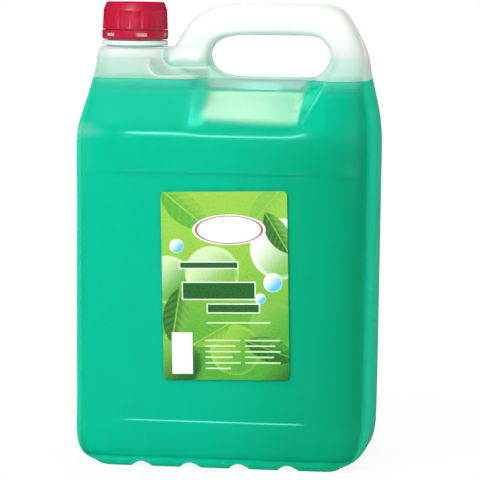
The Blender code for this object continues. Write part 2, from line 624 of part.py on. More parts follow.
def build_canister(finish):
    """Blown shell: body, handle, turret and neck in one piece, hollow all through."""
    canister = new_object("canister", body_solid(0.0), finish)
    neck = new_object("neck_form", turned(neck_outline()), location=(NECK_X, 0.0, 0.0))
    ridge = new_object("neck_thread_form",
                       helical_ridge(NECK_RADIUS - OVERLAP, THREAD_CREST_RADIUS,
                                     THREAD_BOTTOM, THREAD_START),
                       location=(NECK_X, 0.0, 0.0))
    cavity = new_object("cavity_form", body_solid(WALL))
    grooves = foot_grooves("groove_form", 0.0)
    grooves_inside = foot_grooves("groove_back_form", WALL)
    bore = new_object("bore_form",
                      turned([(0.0, NECK_ROOT), (NECK_BORE_RADIUS, NECK_ROOT),
                              (NECK_BORE_RADIUS, NECK_TOP + WALL), (0.0, NECK_TOP + WALL)]),
                      location=(NECK_X, 0.0, 0.0))
    combine(cavity, grooves_inside, "DIFFERENCE")
    combine(cavity, bore, "UNION")
    combine(canister, neck, "UNION")
    combine(canister, ridge, "UNION")
    combine(canister, grooves, "DIFFERENCE")
    combine(canister, cavity, "DIFFERENCE")
    smooth(canister)


def build_liquid(finish):
    """The soap, which fills the shell up to its level."""
    bm = body_solid(WALL + GAP)
    cut = bmesh.ops.bisect_plane(bm, geom=bm.verts[:] + bm.edges[:] + bm.faces[:], dist=0.000001,
                                 plane_co=(0.0, 0.0, FILL_LEVEL), plane_no=(0.0, 0.0, 1.0), clear_outer=True)
    surface = [item for item in cut["geom_cut"] if isinstance(item, bmesh.types.BMEdge)]
    bmesh.ops.edgeloop_fill(bm, edges=surface)
    liquid = new_object("liquid_soap", bm, finish)
    combine(liquid, foot_grooves("groove_clearance_form", WALL + GAP), "DIFFERENCE")
    smooth(liquid)


def build_cap(finish):
    """Screw cap: ribbed skirt with a tapered top, and one thread ridge inside."""
    sector = math.tau / CAP_RIBS
    angles = []
    for rib in range(CAP_RIBS):
        for offset, is_groove in ((-0.5 * sector + CAP_GROOVE_ANGLE, False),
                                  (0.5 * sector - CAP_GROOVE_ANGLE, False), (0.5 * sector, True)):
            angles.append((rib * sector + offset, is_groove))
    height = CAP_TOP - CAP_BOTTOM
    groove_top = height - CAP_TAPER_HEIGHT
    taper_radius = CAP_RADIUS - CAP_DRAFT
    levels = [(CAP_RADIUS, 0.0, 0.0),
              (CAP_RADIUS, CAP_GROOVE_MARGIN, 0.0),
              (CAP_RADIUS, CAP_GROOVE_MARGIN + CAP_GROOVE_DEPTH, CAP_GROOVE_DEPTH),
              (taper_radius, groove_top - CAP_GROOVE_DEPTH, CAP_GROOVE_DEPTH),
              (taper_radius, groove_top, 0.0),
              (taper_radius - CAP_TAPER, height - CAP_TOP_CHAMFER, 0.0),
              (taper_radius - CAP_TAPER - CAP_TOP_CHAMFER, height, 0.0)]
    bm = bmesh.new()
    outer = []
    for radius, rise, groove in levels:
        outer.append([bm.verts.new(((radius - groove * is_groove) * math.cos(angle),
                                    (radius - groove * is_groove) * math.sin(angle), rise))
                      for angle, is_groove in angles])
    inner = [[bm.verts.new((CAP_BORE_RADIUS * math.cos(angle), CAP_BORE_RADIUS * math.sin(angle), rise))
              for angle, _ in angles] for rise in (0.0, CAP_SKIRT)]
    rings = [inner[1], inner[0], *outer]
    for lower, upper in zip(rings, rings[1:]):
        for number in range(len(angles)):
            after = (number + 1) % len(angles)
            bm.faces.new((lower[number], lower[after], upper[after], upper[number]))
    bm.faces.new(inner[1])
    bm.faces.new(outer[-1])
    cap = new_object("screw_cap", bm, finish, location=(NECK_X, 0.0, CAP_BOTTOM))
    ridge = new_object("cap_thread_form",
                       helical_ridge(CAP_BORE_RADIUS + OVERLAP, CAP_THREAD_CREST_RADIUS,
                                     THREAD_BOTTOM, THREAD_START + math.pi),
                       location=(NECK_X, 0.0, 0.0))
    combine(cap, ridge, "UNION")
    smooth(cap)


def build_ring(finish):
    """Tamper ring, left on the neck under its lock bead when the cap is first unscrewed."""
    lip_radius = NECK_RADIUS + RUNNING_GAP
    lip_top = RING_HEIGHT * LOCK_BEAD_SHARE - RUNNING_GAP
    ring = new_object("tamper_ring",
                      turned([(lip_radius, 0.0), (RING_RADIUS - RING_FOOT_CHAMFER, 0.0),
                              (RING_RADIUS, RING_FOOT_CHAMFER), (RING_RADIUS, RING_HEIGHT),
                              (RING_BORE_RADIUS, RING_HEIGHT), (RING_BORE_RADIUS, lip_top - RING_LIP_SLOPE),
                              (lip_radius, lip_top)]),
                      finish, location=(NECK_X, 0.0, RING_BOTTOM))
    windows = bmesh.new()
    nubs = bmesh.new()
    thickness = RING_RADIUS - RING_BORE_RADIUS
    reach = thickness * 2
    for number in range(RING_WINDOWS):
        angle = -math.pi / 2 + RING_WINDOW_TURN + math.tau * number / RING_WINDOWS
        turn = Matrix.Rotation(angle, 4, "Z")
        middle = Vector((RING_RADIUS, 0.0, RING_HEIGHT * LOCK_BEAD_SHARE))
        size = Matrix.Diagonal((reach, RING_WINDOW_WIDTH, RING_WINDOW_HEIGHT, 1.0))
        bmesh.ops.create_cube(windows, size=1.0, matrix=turn @ Matrix.Translation(middle) @ size)
    height = RING_SLIT - GAP
    for number in range(BRIDGES):
        turn = Matrix.Rotation(math.tau * (number + 0.5) / BRIDGES, 4, "Z")
        middle = Vector((RING_RADIUS - thickness / 2, 0.0, RING_HEIGHT + (height - OVERLAP) / 2))
        size = Matrix.Diagonal((thickness * 0.4, BRIDGE_WIDTH, height + OVERLAP, 1.0))
        bmesh.ops.create_cube(nubs, size=1.0, matrix=turn @ Matrix.Translation(middle) @ size)
    combine(ring, new_object("ring_window_form", windows, location=ring.location), "DIFFERENCE")
    combine(ring, new_object("ring_bridge_form", nubs, location=ring.location), "UNION")
    smooth(ring)


def build_liner(finish):
    """Sealing wad, loose in the top of the cap and pressed on the pouring rim."""
    radius = CAP_BORE_RADIUS - RUNNING_GAP
    liner = new_object("cap_liner",
                       turned([(0.0, 0.0), (radius, 0.0),
                               (radius, LINER_THICKNESS), (0.0, LINER_THICKNESS)]),
                       finish, location=(NECK_X, 0.0, LINER_BOTTOM))
    smooth(liner)


def build_label(finish):
    """Front label, a thin film with rounded corners, stuck on the panel slightly askew."""
    bm = bmesh.new()
    corner_steps = 4
    half_width = LABEL_WIDTH / 2 - LABEL_CORNER_RADIUS
    half_height = (LABEL_TOP - LABEL_FOOT) / 2 - LABEL_CORNER_RADIUS
    outline = []
    for quarter in range(4):
        sign_x = (1, -1, -1, 1)[quarter]
        sign_z = (1, 1, -1, -1)[quarter]
        for step in range(corner_steps + 1):
            angle = math.pi / 2 * (quarter + step / corner_steps)
            outline.append((sign_x * half_width + LABEL_CORNER_RADIUS * math.cos(angle),
                            sign_z * half_height + LABEL_CORNER_RADIUS * math.sin(angle)))
    sheet = bm.faces.new([bm.verts.new((x, 0.0, z)) for x, z in outline])
    back = bmesh.ops.extrude_face_region(bm, geom=[sheet])["geom"]
    bmesh.ops.translate(bm, verts=[v for v in back if isinstance(v, bmesh.types.BMVert)],
                        vec=(0.0, -LABEL_THICKNESS, 0.0))
    bmesh.ops.rotate(bm, verts=bm.verts, cent=(0.0, 0.0, 0.0), matrix=Matrix.Rotation(-LABEL_TURN, 3, "Y"))
    new_object("front_label", bm, finish,
               location=(LABEL_X, -(HALF_DEPTH - PANEL_RECESS + GAP), (LABEL_FOOT + LABEL_TOP) / 2))


remove_everything()
build_canister(material("natural_polyethylene", (0.80, 0.90, 0.85), 0.35, 0.35))
build_liquid(material("green_soap", (0.02, 0.60, 0.40), 0.20))
build_cap(material("red_polypropylene", (0.62, 0.02, 0.06), 0.35))
build_ring(material("red_ring_polypropylene", (0.62, 0.02, 0.06), 0.35))
build_liner(material("white_foam", (0.90, 0.90, 0.88), 0.60))
build_label(material("green_film", (0.35, 0.62, 0.10), 0.30))
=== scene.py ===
import math

import bmesh
import bpy
from mathutils import Matrix, Vector


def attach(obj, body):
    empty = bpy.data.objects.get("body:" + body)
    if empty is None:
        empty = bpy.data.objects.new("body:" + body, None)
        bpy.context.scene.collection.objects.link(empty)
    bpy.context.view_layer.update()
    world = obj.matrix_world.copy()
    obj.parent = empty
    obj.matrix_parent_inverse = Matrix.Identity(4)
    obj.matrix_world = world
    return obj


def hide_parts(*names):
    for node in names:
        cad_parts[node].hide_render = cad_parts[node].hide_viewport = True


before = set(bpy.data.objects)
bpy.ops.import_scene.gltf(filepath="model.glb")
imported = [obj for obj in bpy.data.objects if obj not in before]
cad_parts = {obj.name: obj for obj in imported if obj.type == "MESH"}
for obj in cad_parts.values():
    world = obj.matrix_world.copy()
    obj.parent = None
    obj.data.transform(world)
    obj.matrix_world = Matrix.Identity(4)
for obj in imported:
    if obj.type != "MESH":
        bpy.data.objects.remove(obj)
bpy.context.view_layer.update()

# ## Canister
# The blow-moulded five-litre canister, natural polyethylene 1.3 mm thick with its handle hollow and
# its neck, support flange, lock bead and thread in one piece. Two mould halves meet on the plane y = 0.

HALF_WIDTH = 0.0952
HALF_DEPTH = 0.0645
CORNER_RADIUS = 0.0350
WALL = 0.0013
SHOULDER_HEIGHT = 0.2105
SHOULDER_SOFTNESS = 0.0040
SHOULDER_DROP_BACK = 0.0013
BASE_ROUND_OUT = 0.0140
BASE_ROUND_UP = 0.0270
BASE_ROUND_FRONT = 0.0090
BASE_ROUND_BLEND = 0.0085
BASE_CORNER_SHARE = 0.18
BASE_CORNER_DROP = 0.0200
SIDE_DRAFT = 0.0088
FOOT_DRAFT = 0.0020
FOOT_DRAFT_HEIGHT = 0.0600
RIM_SHARE = 0.811
ROUNDING_LIMIT = 0.75
SLOPE_ROUNDING = 0.85
HIP_ROUNDING = 0.55
COLLAR_ROUNDING = 0.45

# Recessed label panel on the front and on the back
PANEL_FOOT = 0.0300
PANEL_TOP_DROP = 0.0255
PANEL_RECESS = 0.0013
PANEL_STEP = 0.0010
PANEL_FLAT_MARGIN = 0.0070

# Grooves across the base
FOOT_GROOVES = 4
FOOT_GROOVE_PITCH = 0.0308
FOOT_GROOVE_WIDTH = 0.0132
FOOT_GROOVE_HEIGHT = 0.0036
FOOT_GROOVE_FULLNESS = 1.9
FOOT_GROOVE_LENGTH = 0.1548
FOOT_GROOVE_STEPS = 16

# Handle, which is blown hollow with the body, and its finger hole
HANDLE_RISE = 0.0795
HANDLE_BAR_HEIGHT = 0.0200
HANDLE_HALF_DEPTH = 0.0130
HANDLE_EDGE_DROP = 0.0095
HANDLE_ROOT_LEAN = 0.0230
HANDLE_NECK_LEAN = 0.0170
HANDLE_NECK_RISE = 0.0016
HANDLE_CROWN_LEAN = 0.0077
HANDLE_CROWN_START = 0.0106
HANDLE_CROWN_DROP = 0.0060
HANDLE_CROWN_END = 0.0030
HANDLE_HEEL_INSET = 0.0096
HANDLE_HEEL_DROP = 0.0060
HOLE_HEIGHT = 0.0268
HOLE_LEFT_GAP = 0.0278
HOLE_RIGHT_INSET = 0.0305
HOLE_RIM = 0.0058
HOLE_END_START = 0.0080
HOLE_END_SHARE = 0.35
HOLE_TOP_TURN = 0.0185
HOLE_LIP_ROUNDING = 2.6
HOLE_FOOT_ROUNDING = 2.0
LEG_OUTLINE_INSET = 0.0109
LEG_DEPTH_GAIN = 0.0075
LEG_BULGE = 0.0035
LEG_FRONT_INSET = 0.0100
LEG_HIP_SPREAD = 0.0018
LEG_FOOT_SPREAD = 0.0038
LEG_MIDDLE_SPREAD = 0.0026
LEG_TOP_INSET = 0.0025
LEG_TOP_RISE = 0.0011
LEG_FOOT_ROUNDING = 1.9
LEG_TOP_ROUNDING = 1.5

# Where the front of the handle is deepest, measured from the hole and from the outline
BAR_FRONT_NECK = 0.0112
BAR_FRONT_START = 0.0027
BAR_FRONT_END = 0.0022
BAR_FRONT_LEG_INSET = 0.0105
BAR_FRONT_CLIMB = 0.0012
CROWN_FRONT_NECK = 0.0047
CROWN_FRONT_START = 0.0068
CROWN_FRONT_END = 0.0035
CROWN_FRONT_LEG_INSET = 0.0150
CROWN_FRONT_DROP = 0.0033

# Grip recess below the handle
RECESS_HALF_DEPTH = 0.0140
RECESS_LIP_HEIGHT = 0.0087
RECESS_WALL_SHIFT = 0.0002
RECESS_FLOOR_INSET = 0.0467
RECESS_EDGE_SOFTNESS = 0.0030
RECESS_EDGE_LEAN = 0.0100
CREASE_FOOT_INSET = 0.0477
CREASE_SLOPE = 0.5800
SLOPE_RISE = 0.0132
SLOPE_FULLNESS = 0.0030

# Turret that carries the neck, and the shelf between it and the handle
TURRET_DROP = 0.0280
TURRET_HALF_WIDTH = 0.0211
TURRET_HALF_DEPTH = 0.0222
TURRET_CORNER_RADIUS = 0.0080
TURRET_EDGE_RADIUS = 0.0060
TURRET_FRONT_EDGE_INSET = 0.0077
TURRET_FOOT_SPREAD = 0.0092
TURRET_FOOT_OVERHANG = 0.0018
SLAB_HALF_DEPTH = 0.0365
SHELF_RISE = 0.0014
SHELF_HALF_DEPTH = 0.0150
WEB_FOOT_RISE = 0.0068
WEB_HALF_DEPTH = 0.0125
WEB_TOP_DROP = 0.0008
WEB_TOP_START = 0.0045
WEB_TOP_MIDDLE = 0.0015

# How crisp the moulded edges are, from 0 for round to 1 for sharp
TURRET_EDGE_CRISPNESS = 0.80
WEB_FOOT_CRISPNESS = 0.70
RECESS_FOOT_CRISPNESS = 0.80
RECESS_SIDE_CRISPNESS = 0.45
COLUMN_EDGE_CRISPNESS = 0.70
SHOULDER_CRISPNESS = 0.20
PANEL_CRISPNESS = 0.45
TURRET_CORNER_CRISPNESS = 0.50

# Neck and its right-hand thread
NECK_INSET = 0.0326
NECK_RADIUS = 0.0174
NECK_BORE_RADIUS = 0.0154
FLANGE_RADIUS = 0.0209
FLANGE_RISE = 0.0006
FLANGE_THICKNESS = 0.0029
THREAD_PITCH = 0.0040
THREAD_TURNS = 1.75
THREAD_DEPTH = 0.0009
THREAD_ROOT_WIDTH = 0.0021
THREAD_CREST_WIDTH = 0.0009
THREAD_START = math.radians(3.0)
THREAD_END_SHARE = 0.25
THREAD_FADE_TURN = 1 / 6
LOCK_BEAD_DEPTH = 0.0020
LOCK_BEAD_SHARE = 0.55
LOCK_BEAD_LAND = 0.0005
LOCK_BEAD_HEIGHT = 0.0016
NECK_EDGE_RADIUS = 0.0006
BEVEL_SHARE = 0.3

# Closure
CAP_SKIRT = 0.0159
CAP_PLATE = 0.0015
RING_HEIGHT = 0.0058
RING_STAND_OFF = 0.0008
RING_SLIT = 0.0005
LINER_THICKNESS = 0.0009

# Contents
FILL_DROP = 0.0004

# Clearances
GAP = 0.0003
RUNNING_GAP = 0.00035
OVERLAP = 0.0006

# Fineness of round pieces, and how near two points have to be to count as one
ROUND_STEPS = 144
THREAD_STEPS = 72
FORM_FINENESS = 3
BODY_SHARP_ANGLE = 35.0
CLOSURE_SHARP_ANGLE = 40.0
HAIR = 0.000001
FINE_WELD = 0.00001
WELD = 0.00002

NECK_X = -(HALF_WIDTH - NECK_INSET)
PANEL_TOP = SHOULDER_HEIGHT - PANEL_TOP_DROP
HANDLE_TOP = SHOULDER_HEIGHT + HANDLE_RISE
TURRET_TOP = HANDLE_TOP - TURRET_DROP
HOLE_TOP = HANDLE_TOP - HANDLE_BAR_HEIGHT
HOLE_BOTTOM = HOLE_TOP - HOLE_HEIGHT
TURRET_LEFT = NECK_X - TURRET_HALF_WIDTH
TURRET_RIGHT = NECK_X + TURRET_HALF_WIDTH
HOLE_LEFT = TURRET_RIGHT + HOLE_LEFT_GAP
HOLE_RIGHT = HALF_WIDTH - HOLE_RIGHT_INSET
RECESS_WALL_LEFT = HOLE_LEFT + RECESS_WALL_SHIFT
RECESS_FLOOR_RIGHT = HALF_WIDTH - RECESS_FLOOR_INSET
CREASE_FOOT_X = HALF_WIDTH - CREASE_FOOT_INSET
HOLE_MIDDLE_X = (HOLE_LEFT + HOLE_RIGHT) / 2 - HOLE_RIM
LEG_RIGHT = HALF_WIDTH - LEG_OUTLINE_INSET
LEG_HALF_DEPTH = SLAB_HALF_DEPTH + LEG_DEPTH_GAIN
FILL_LEVEL = HOLE_BOTTOM - FILL_DROP
NECK_ROOT = TURRET_TOP - 2 * TURRET_EDGE_RADIUS
FLANGE_BOTTOM = TURRET_TOP + FLANGE_RISE
FLANGE_TOP = FLANGE_BOTTOM + FLANGE_THICKNESS
RING_BOTTOM = FLANGE_TOP + RING_STAND_OFF
RING_TOP = RING_BOTTOM + RING_HEIGHT
CAP_BOTTOM = RING_TOP + RING_SLIT
CAP_CEILING = CAP_BOTTOM + CAP_SKIRT
CAP_TOP = CAP_CEILING + CAP_PLATE
LINER_BOTTOM = CAP_CEILING - GAP - LINER_THICKNESS
NECK_TOP = LINER_BOTTOM - GAP
THREAD_CREST_RADIUS = NECK_RADIUS + THREAD_DEPTH
CAP_BORE_RADIUS = THREAD_CREST_RADIUS + RUNNING_GAP
CAP_THREAD_CREST_RADIUS = NECK_RADIUS + RUNNING_GAP
LOCK_BEAD_RADIUS = NECK_RADIUS + LOCK_BEAD_DEPTH
RING_BORE_RADIUS = LOCK_BEAD_RADIUS + RUNNING_GAP
THREAD_BOTTOM = CAP_BOTTOM + THREAD_ROOT_WIDTH


def formed(name, bm, finish=None):
    """Object made from a bmesh whose faces point outwards."""
    bmesh.ops.recalc_face_normals(bm, faces=bm.faces)
    mesh = bpy.data.meshes.new(name)
    bm.to_mesh(mesh)
    bm.free()
    piece = bpy.data.objects.new(name, mesh)
    bpy.context.scene.collection.objects.link(piece)
    if finish:
        mesh.materials.append(finish)
    return piece


def only(kind, items):
    return [item for item in items if isinstance(item, kind)]


def settled(piece):
    """The piece with its modifiers worked into its mesh."""
    bpy.context.view_layer.update()
    evaluated = piece.evaluated_get(bpy.context.evaluated_depsgraph_get())
    mesh = bpy.data.meshes.new_from_object(evaluated)
    old = piece.data
    piece.modifiers.clear()
    piece.data = mesh
    bpy.data.meshes.remove(old)
    return piece


def worked(target, *steps):
    """Joins or cuts the target with other forms, which are used up."""
    for operation, tool in steps:
        step = target.modifiers.new("Form", "BOOLEAN")
        step.operation = operation
        step.object = tool
        step.solver = "EXACT"
    settled(target)
    for _, tool in steps:
        bpy.data.objects.remove(tool)
    return target


def smoothed(piece, angle):
    """The piece shaded smoothly, except where its faces meet at more than the angle."""
    piece.data.shade_smooth()
    piece.data.set_sharp_from_angle(angle=math.radians(angle))
    return piece


def turned(outline, steps=ROUND_STEPS):
    """Solid of revolution on the neck's axis, from an outline of radii and heights."""
    bm = bmesh.new()
    points = [bm.verts.new((radius, 0.0, height)) for radius, height in outline]
    edges = [bm.edges.new(pair) for pair in zip(points, points[1:])]
    if outline[0][0] > 0.0:
        edges.append(bm.edges.new((points[-1], points[0])))
    bmesh.ops.spin(bm, geom=points + edges, cent=(0.0, 0.0, 0.0), axis=(0.0, 0.0, 1.0),
                   angle=math.tau, steps=steps, use_merge=True)
    bmesh.ops.remove_doubles(bm, verts=bm.verts, dist=FINE_WELD)
    bmesh.ops.translate(bm, verts=bm.verts, vec=(NECK_X, 0.0, 0.0))
    return bm


def helical_ridge(root_radius, crest_radius, start, phase):
    """One thread ridge, a trapezium swept up a right-hand helix and faded out at both ends."""
    bm = bmesh.new()
    steps = round(THREAD_TURNS * THREAD_STEPS)
    fade = THREAD_STEPS * THREAD_FADE_TURN
    rings = []
    for step in range(steps + 1):
        turn = step / THREAD_STEPS
        angle = math.tau * turn + phase
        rise = start + THREAD_PITCH * turn
        shown = min(1.0, THREAD_END_SHARE + (1.0 - THREAD_END_SHARE) * min(step, steps - step) / fade)
        reach = root_radius + (crest_radius - root_radius) * shown
        section = [(root_radius, -THREAD_ROOT_WIDTH / 2), (reach, -THREAD_CREST_WIDTH / 2),
                   (reach, THREAD_CREST_WIDTH / 2), (root_radius, THREAD_ROOT_WIDTH / 2)]
        across, along = math.cos(angle), math.sin(angle)
        rings.append([bm.verts.new((NECK_X + radius * across, radius * along, rise + height))
                      for radius, height in section])
    for lower, upper in zip(rings, rings[1:]):
        for side in range(4):
            after = (side + 1) % 4
            bm.faces.new((lower[side], lower[after], upper[after], upper[side]))
    bm.faces.new(rings[0])
    bm.faces.new(rings[-1])
    return bm


# Column and row numbers of the control grid that shapes one mould half, seen from the front
LEFT, SLAB_A, SLAB_B, SLAB_EDGE, RECESS_A, RECESS_B, RECESS_C, CREASE, RIGHT = range(9)
(FOOT, PANEL_A, PANEL_B, PANEL_C, PANEL_D, PANEL_E, BAND,
 SHOULDER, SLOPE, LIP, SHELF, ROOT, BAR, CROWN) = range(14)


def crease_x(height):
    """The slanting edge at the right of the grip recess."""
    return CREASE_FOOT_X + CREASE_SLOPE * (height - SHOULDER_HEIGHT)


def side_x(height):
    """Half width of the outline on the parting line, which leans in above the shoulder and at the foot."""
    above = max(0.0, height - SHOULDER_HEIGHT) / (HOLE_BOTTOM - SHOULDER_HEIGHT)
    below = max(0.0, FOOT_DRAFT_HEIGHT - height) / FOOT_DRAFT_HEIGHT
    return HALF_WIDTH - SIDE_DRAFT * above - FOOT_DRAFT * below


def leg_half_depth(height):
    """The right leg of the handle gets thinner from the shoulder's column up to the bar."""
    share = (height - HOLE_BOTTOM) / HOLE_HEIGHT
    return LEG_HALF_DEPTH + (HANDLE_HALF_DEPTH - LEG_HALF_DEPTH) * share


def front_grid():
    """Control points (x, height, half depth) of the front, row by row from the foot up."""
    flat = HALF_WIDTH - CORNER_RADIUS
    soft = RECESS_EDGE_SOFTNESS
    turret_edge = TURRET_RIGHT - TURRET_FRONT_EDGE_INSET
    columns = [-flat, turret_edge, TURRET_RIGHT, RECESS_WALL_LEFT - soft, RECESS_WALL_LEFT + soft,
               HOLE_MIDDLE_X, CREASE_FOOT_X - soft, CREASE_FOOT_X + soft, flat]

    def level(height, depth):
        return [(x, height, depth) for x in columns]

    recessed = HALF_DEPTH - PANEL_RECESS
    rows = [level(PANEL_FOOT - PANEL_STEP, HALF_DEPTH),
            level(PANEL_FOOT + PANEL_STEP, recessed),
            level(PANEL_FOOT + PANEL_STEP + PANEL_FLAT_MARGIN, recessed),
            level(PANEL_TOP - PANEL_STEP - PANEL_FLAT_MARGIN, recessed),
            level(PANEL_TOP - PANEL_STEP, recessed),
            level(PANEL_TOP + PANEL_STEP, HALF_DEPTH),
            level(SHOULDER_HEIGHT - SHOULDER_SOFTNESS, HALF_DEPTH),
            level(SHOULDER_HEIGHT + SHOULDER_SOFTNESS / 2, HALF_DEPTH - SHOULDER_DROP_BACK)]

    slope = SHOULDER_HEIGHT + SLOPE_RISE
    lip = HOLE_BOTTOM - RECESS_LIP_HEIGHT
    slab_slope = (HALF_DEPTH + SLAB_HALF_DEPTH) / 2 + SLOPE_FULLNESS
    floor_slope = (HALF_DEPTH + RECESS_HALF_DEPTH) / 2
    rows.append([(-flat - soft / 2, slope, slab_slope), (turret_edge, slope, slab_slope),
                 (TURRET_RIGHT, slope, slab_slope), (RECESS_WALL_LEFT - soft, slope, slab_slope),
                 (RECESS_WALL_LEFT + soft, slope, floor_slope), (HOLE_MIDDLE_X, slope, floor_slope),
                 (RECESS_FLOOR_RIGHT - soft / 2, slope, floor_slope),
                 (crease_x(slope), slope, slab_slope + soft / 2), (flat + soft, slope, slab_slope + soft)])

    shelf = HOLE_BOTTOM + SHELF_RISE
    leg_front = LEG_RIGHT - LEG_FRONT_INSET
    rows.append([(TURRET_LEFT + TURRET_CORNER_RADIUS + TURRET_FOOT_SPREAD, HOLE_BOTTOM, SLAB_HALF_DEPTH),
                 (turret_edge + soft, shelf, SLAB_HALF_DEPTH), (TURRET_RIGHT + soft, shelf, SLAB_HALF_DEPTH),
                 (RECESS_WALL_LEFT - soft, shelf, SLAB_HALF_DEPTH),
                 (RECESS_WALL_LEFT + soft, lip, RECESS_HALF_DEPTH), (HOLE_MIDDLE_X, lip, RECESS_HALF_DEPTH),
                 (RECESS_FLOOR_RIGHT, lip, RECESS_HALF_DEPTH),
                 (crease_x(HOLE_BOTTOM), HOLE_BOTTOM, LEG_HALF_DEPTH),
                 (leg_front, HOLE_BOTTOM, LEG_HALF_DEPTH)])

    web_foot = HOLE_BOTTOM + WEB_FOOT_RISE
    hole_left = HOLE_LEFT - HOLE_RIM
    hole_right = HOLE_RIGHT + HOLE_RIM
    low = HOLE_BOTTOM + HOLE_END_SHARE * HOLE_HEIGHT
    high = HOLE_TOP - HOLE_END_SHARE * HOLE_HEIGHT
    rows.append([(TURRET_LEFT + TURRET_CORNER_RADIUS + TURRET_FOOT_SPREAD / 2, web_foot,
                  (SLAB_HALF_DEPTH + TURRET_HALF_DEPTH) / 2),
                 (turret_edge, web_foot + soft / 2, (SLAB_HALF_DEPTH + TURRET_HALF_DEPTH) / 2),
                 (TURRET_RIGHT + soft, web_foot, SHELF_HALF_DEPTH),
                 (hole_left - RECESS_EDGE_LEAN, web_foot, SHELF_HALF_DEPTH),
                 (hole_left, low, SHELF_HALF_DEPTH), None, None,
                 (hole_right, low, leg_half_depth(low) - LEG_BULGE),
                 (leg_front, low, leg_half_depth(low) - LEG_BULGE)])

    eaves = TURRET_TOP - TURRET_EDGE_RADIUS
    rows.append([(TURRET_LEFT + TURRET_CORNER_RADIUS, eaves, TURRET_HALF_DEPTH),
                 (turret_edge, eaves, TURRET_HALF_DEPTH), (TURRET_RIGHT, eaves, WEB_HALF_DEPTH),
                 (hole_left - RECESS_EDGE_LEAN, eaves, WEB_HALF_DEPTH),
                 (hole_left, high, WEB_HALF_DEPTH), None, None,
                 (hole_right, high, leg_half_depth(high) - LEG_BULGE),
                 (leg_front, high, leg_half_depth(high) - LEG_BULGE)])

    bar = HOLE_TOP + HOLE_RIM
    crown = HANDLE_TOP - HOLE_RIM
    depth = HANDLE_HALF_DEPTH
    climb = BAR_FRONT_CLIMB
    rows.append([None, None, None, (HOLE_LEFT - BAR_FRONT_NECK, HOLE_TOP + climb, depth),
                 (HOLE_LEFT - BAR_FRONT_START, HOLE_TOP + 2 * climb, depth), (HOLE_MIDDLE_X, bar, depth),
                 (HOLE_RIGHT - HOLE_TOP_TURN, bar, depth),
                 (HOLE_RIGHT + BAR_FRONT_END, HOLE_TOP + 3 * climb, depth),
                 (LEG_RIGHT - BAR_FRONT_LEG_INSET, HOLE_TOP + 4 * climb, depth)])
    rows.append([None, None, None, (HOLE_LEFT - CROWN_FRONT_NECK, crown - CROWN_FRONT_DROP, depth),
                 (HOLE_LEFT + CROWN_FRONT_START, crown, depth), (HOLE_MIDDLE_X, crown, depth),
                 (HOLE_RIGHT - HOLE_TOP_TURN, crown, depth), (HOLE_RIGHT - CROWN_FRONT_END, crown, depth),
                 (LEG_RIGHT - CROWN_FRONT_LEG_INSET, crown - CROWN_FRONT_DROP, depth)])
    return rows


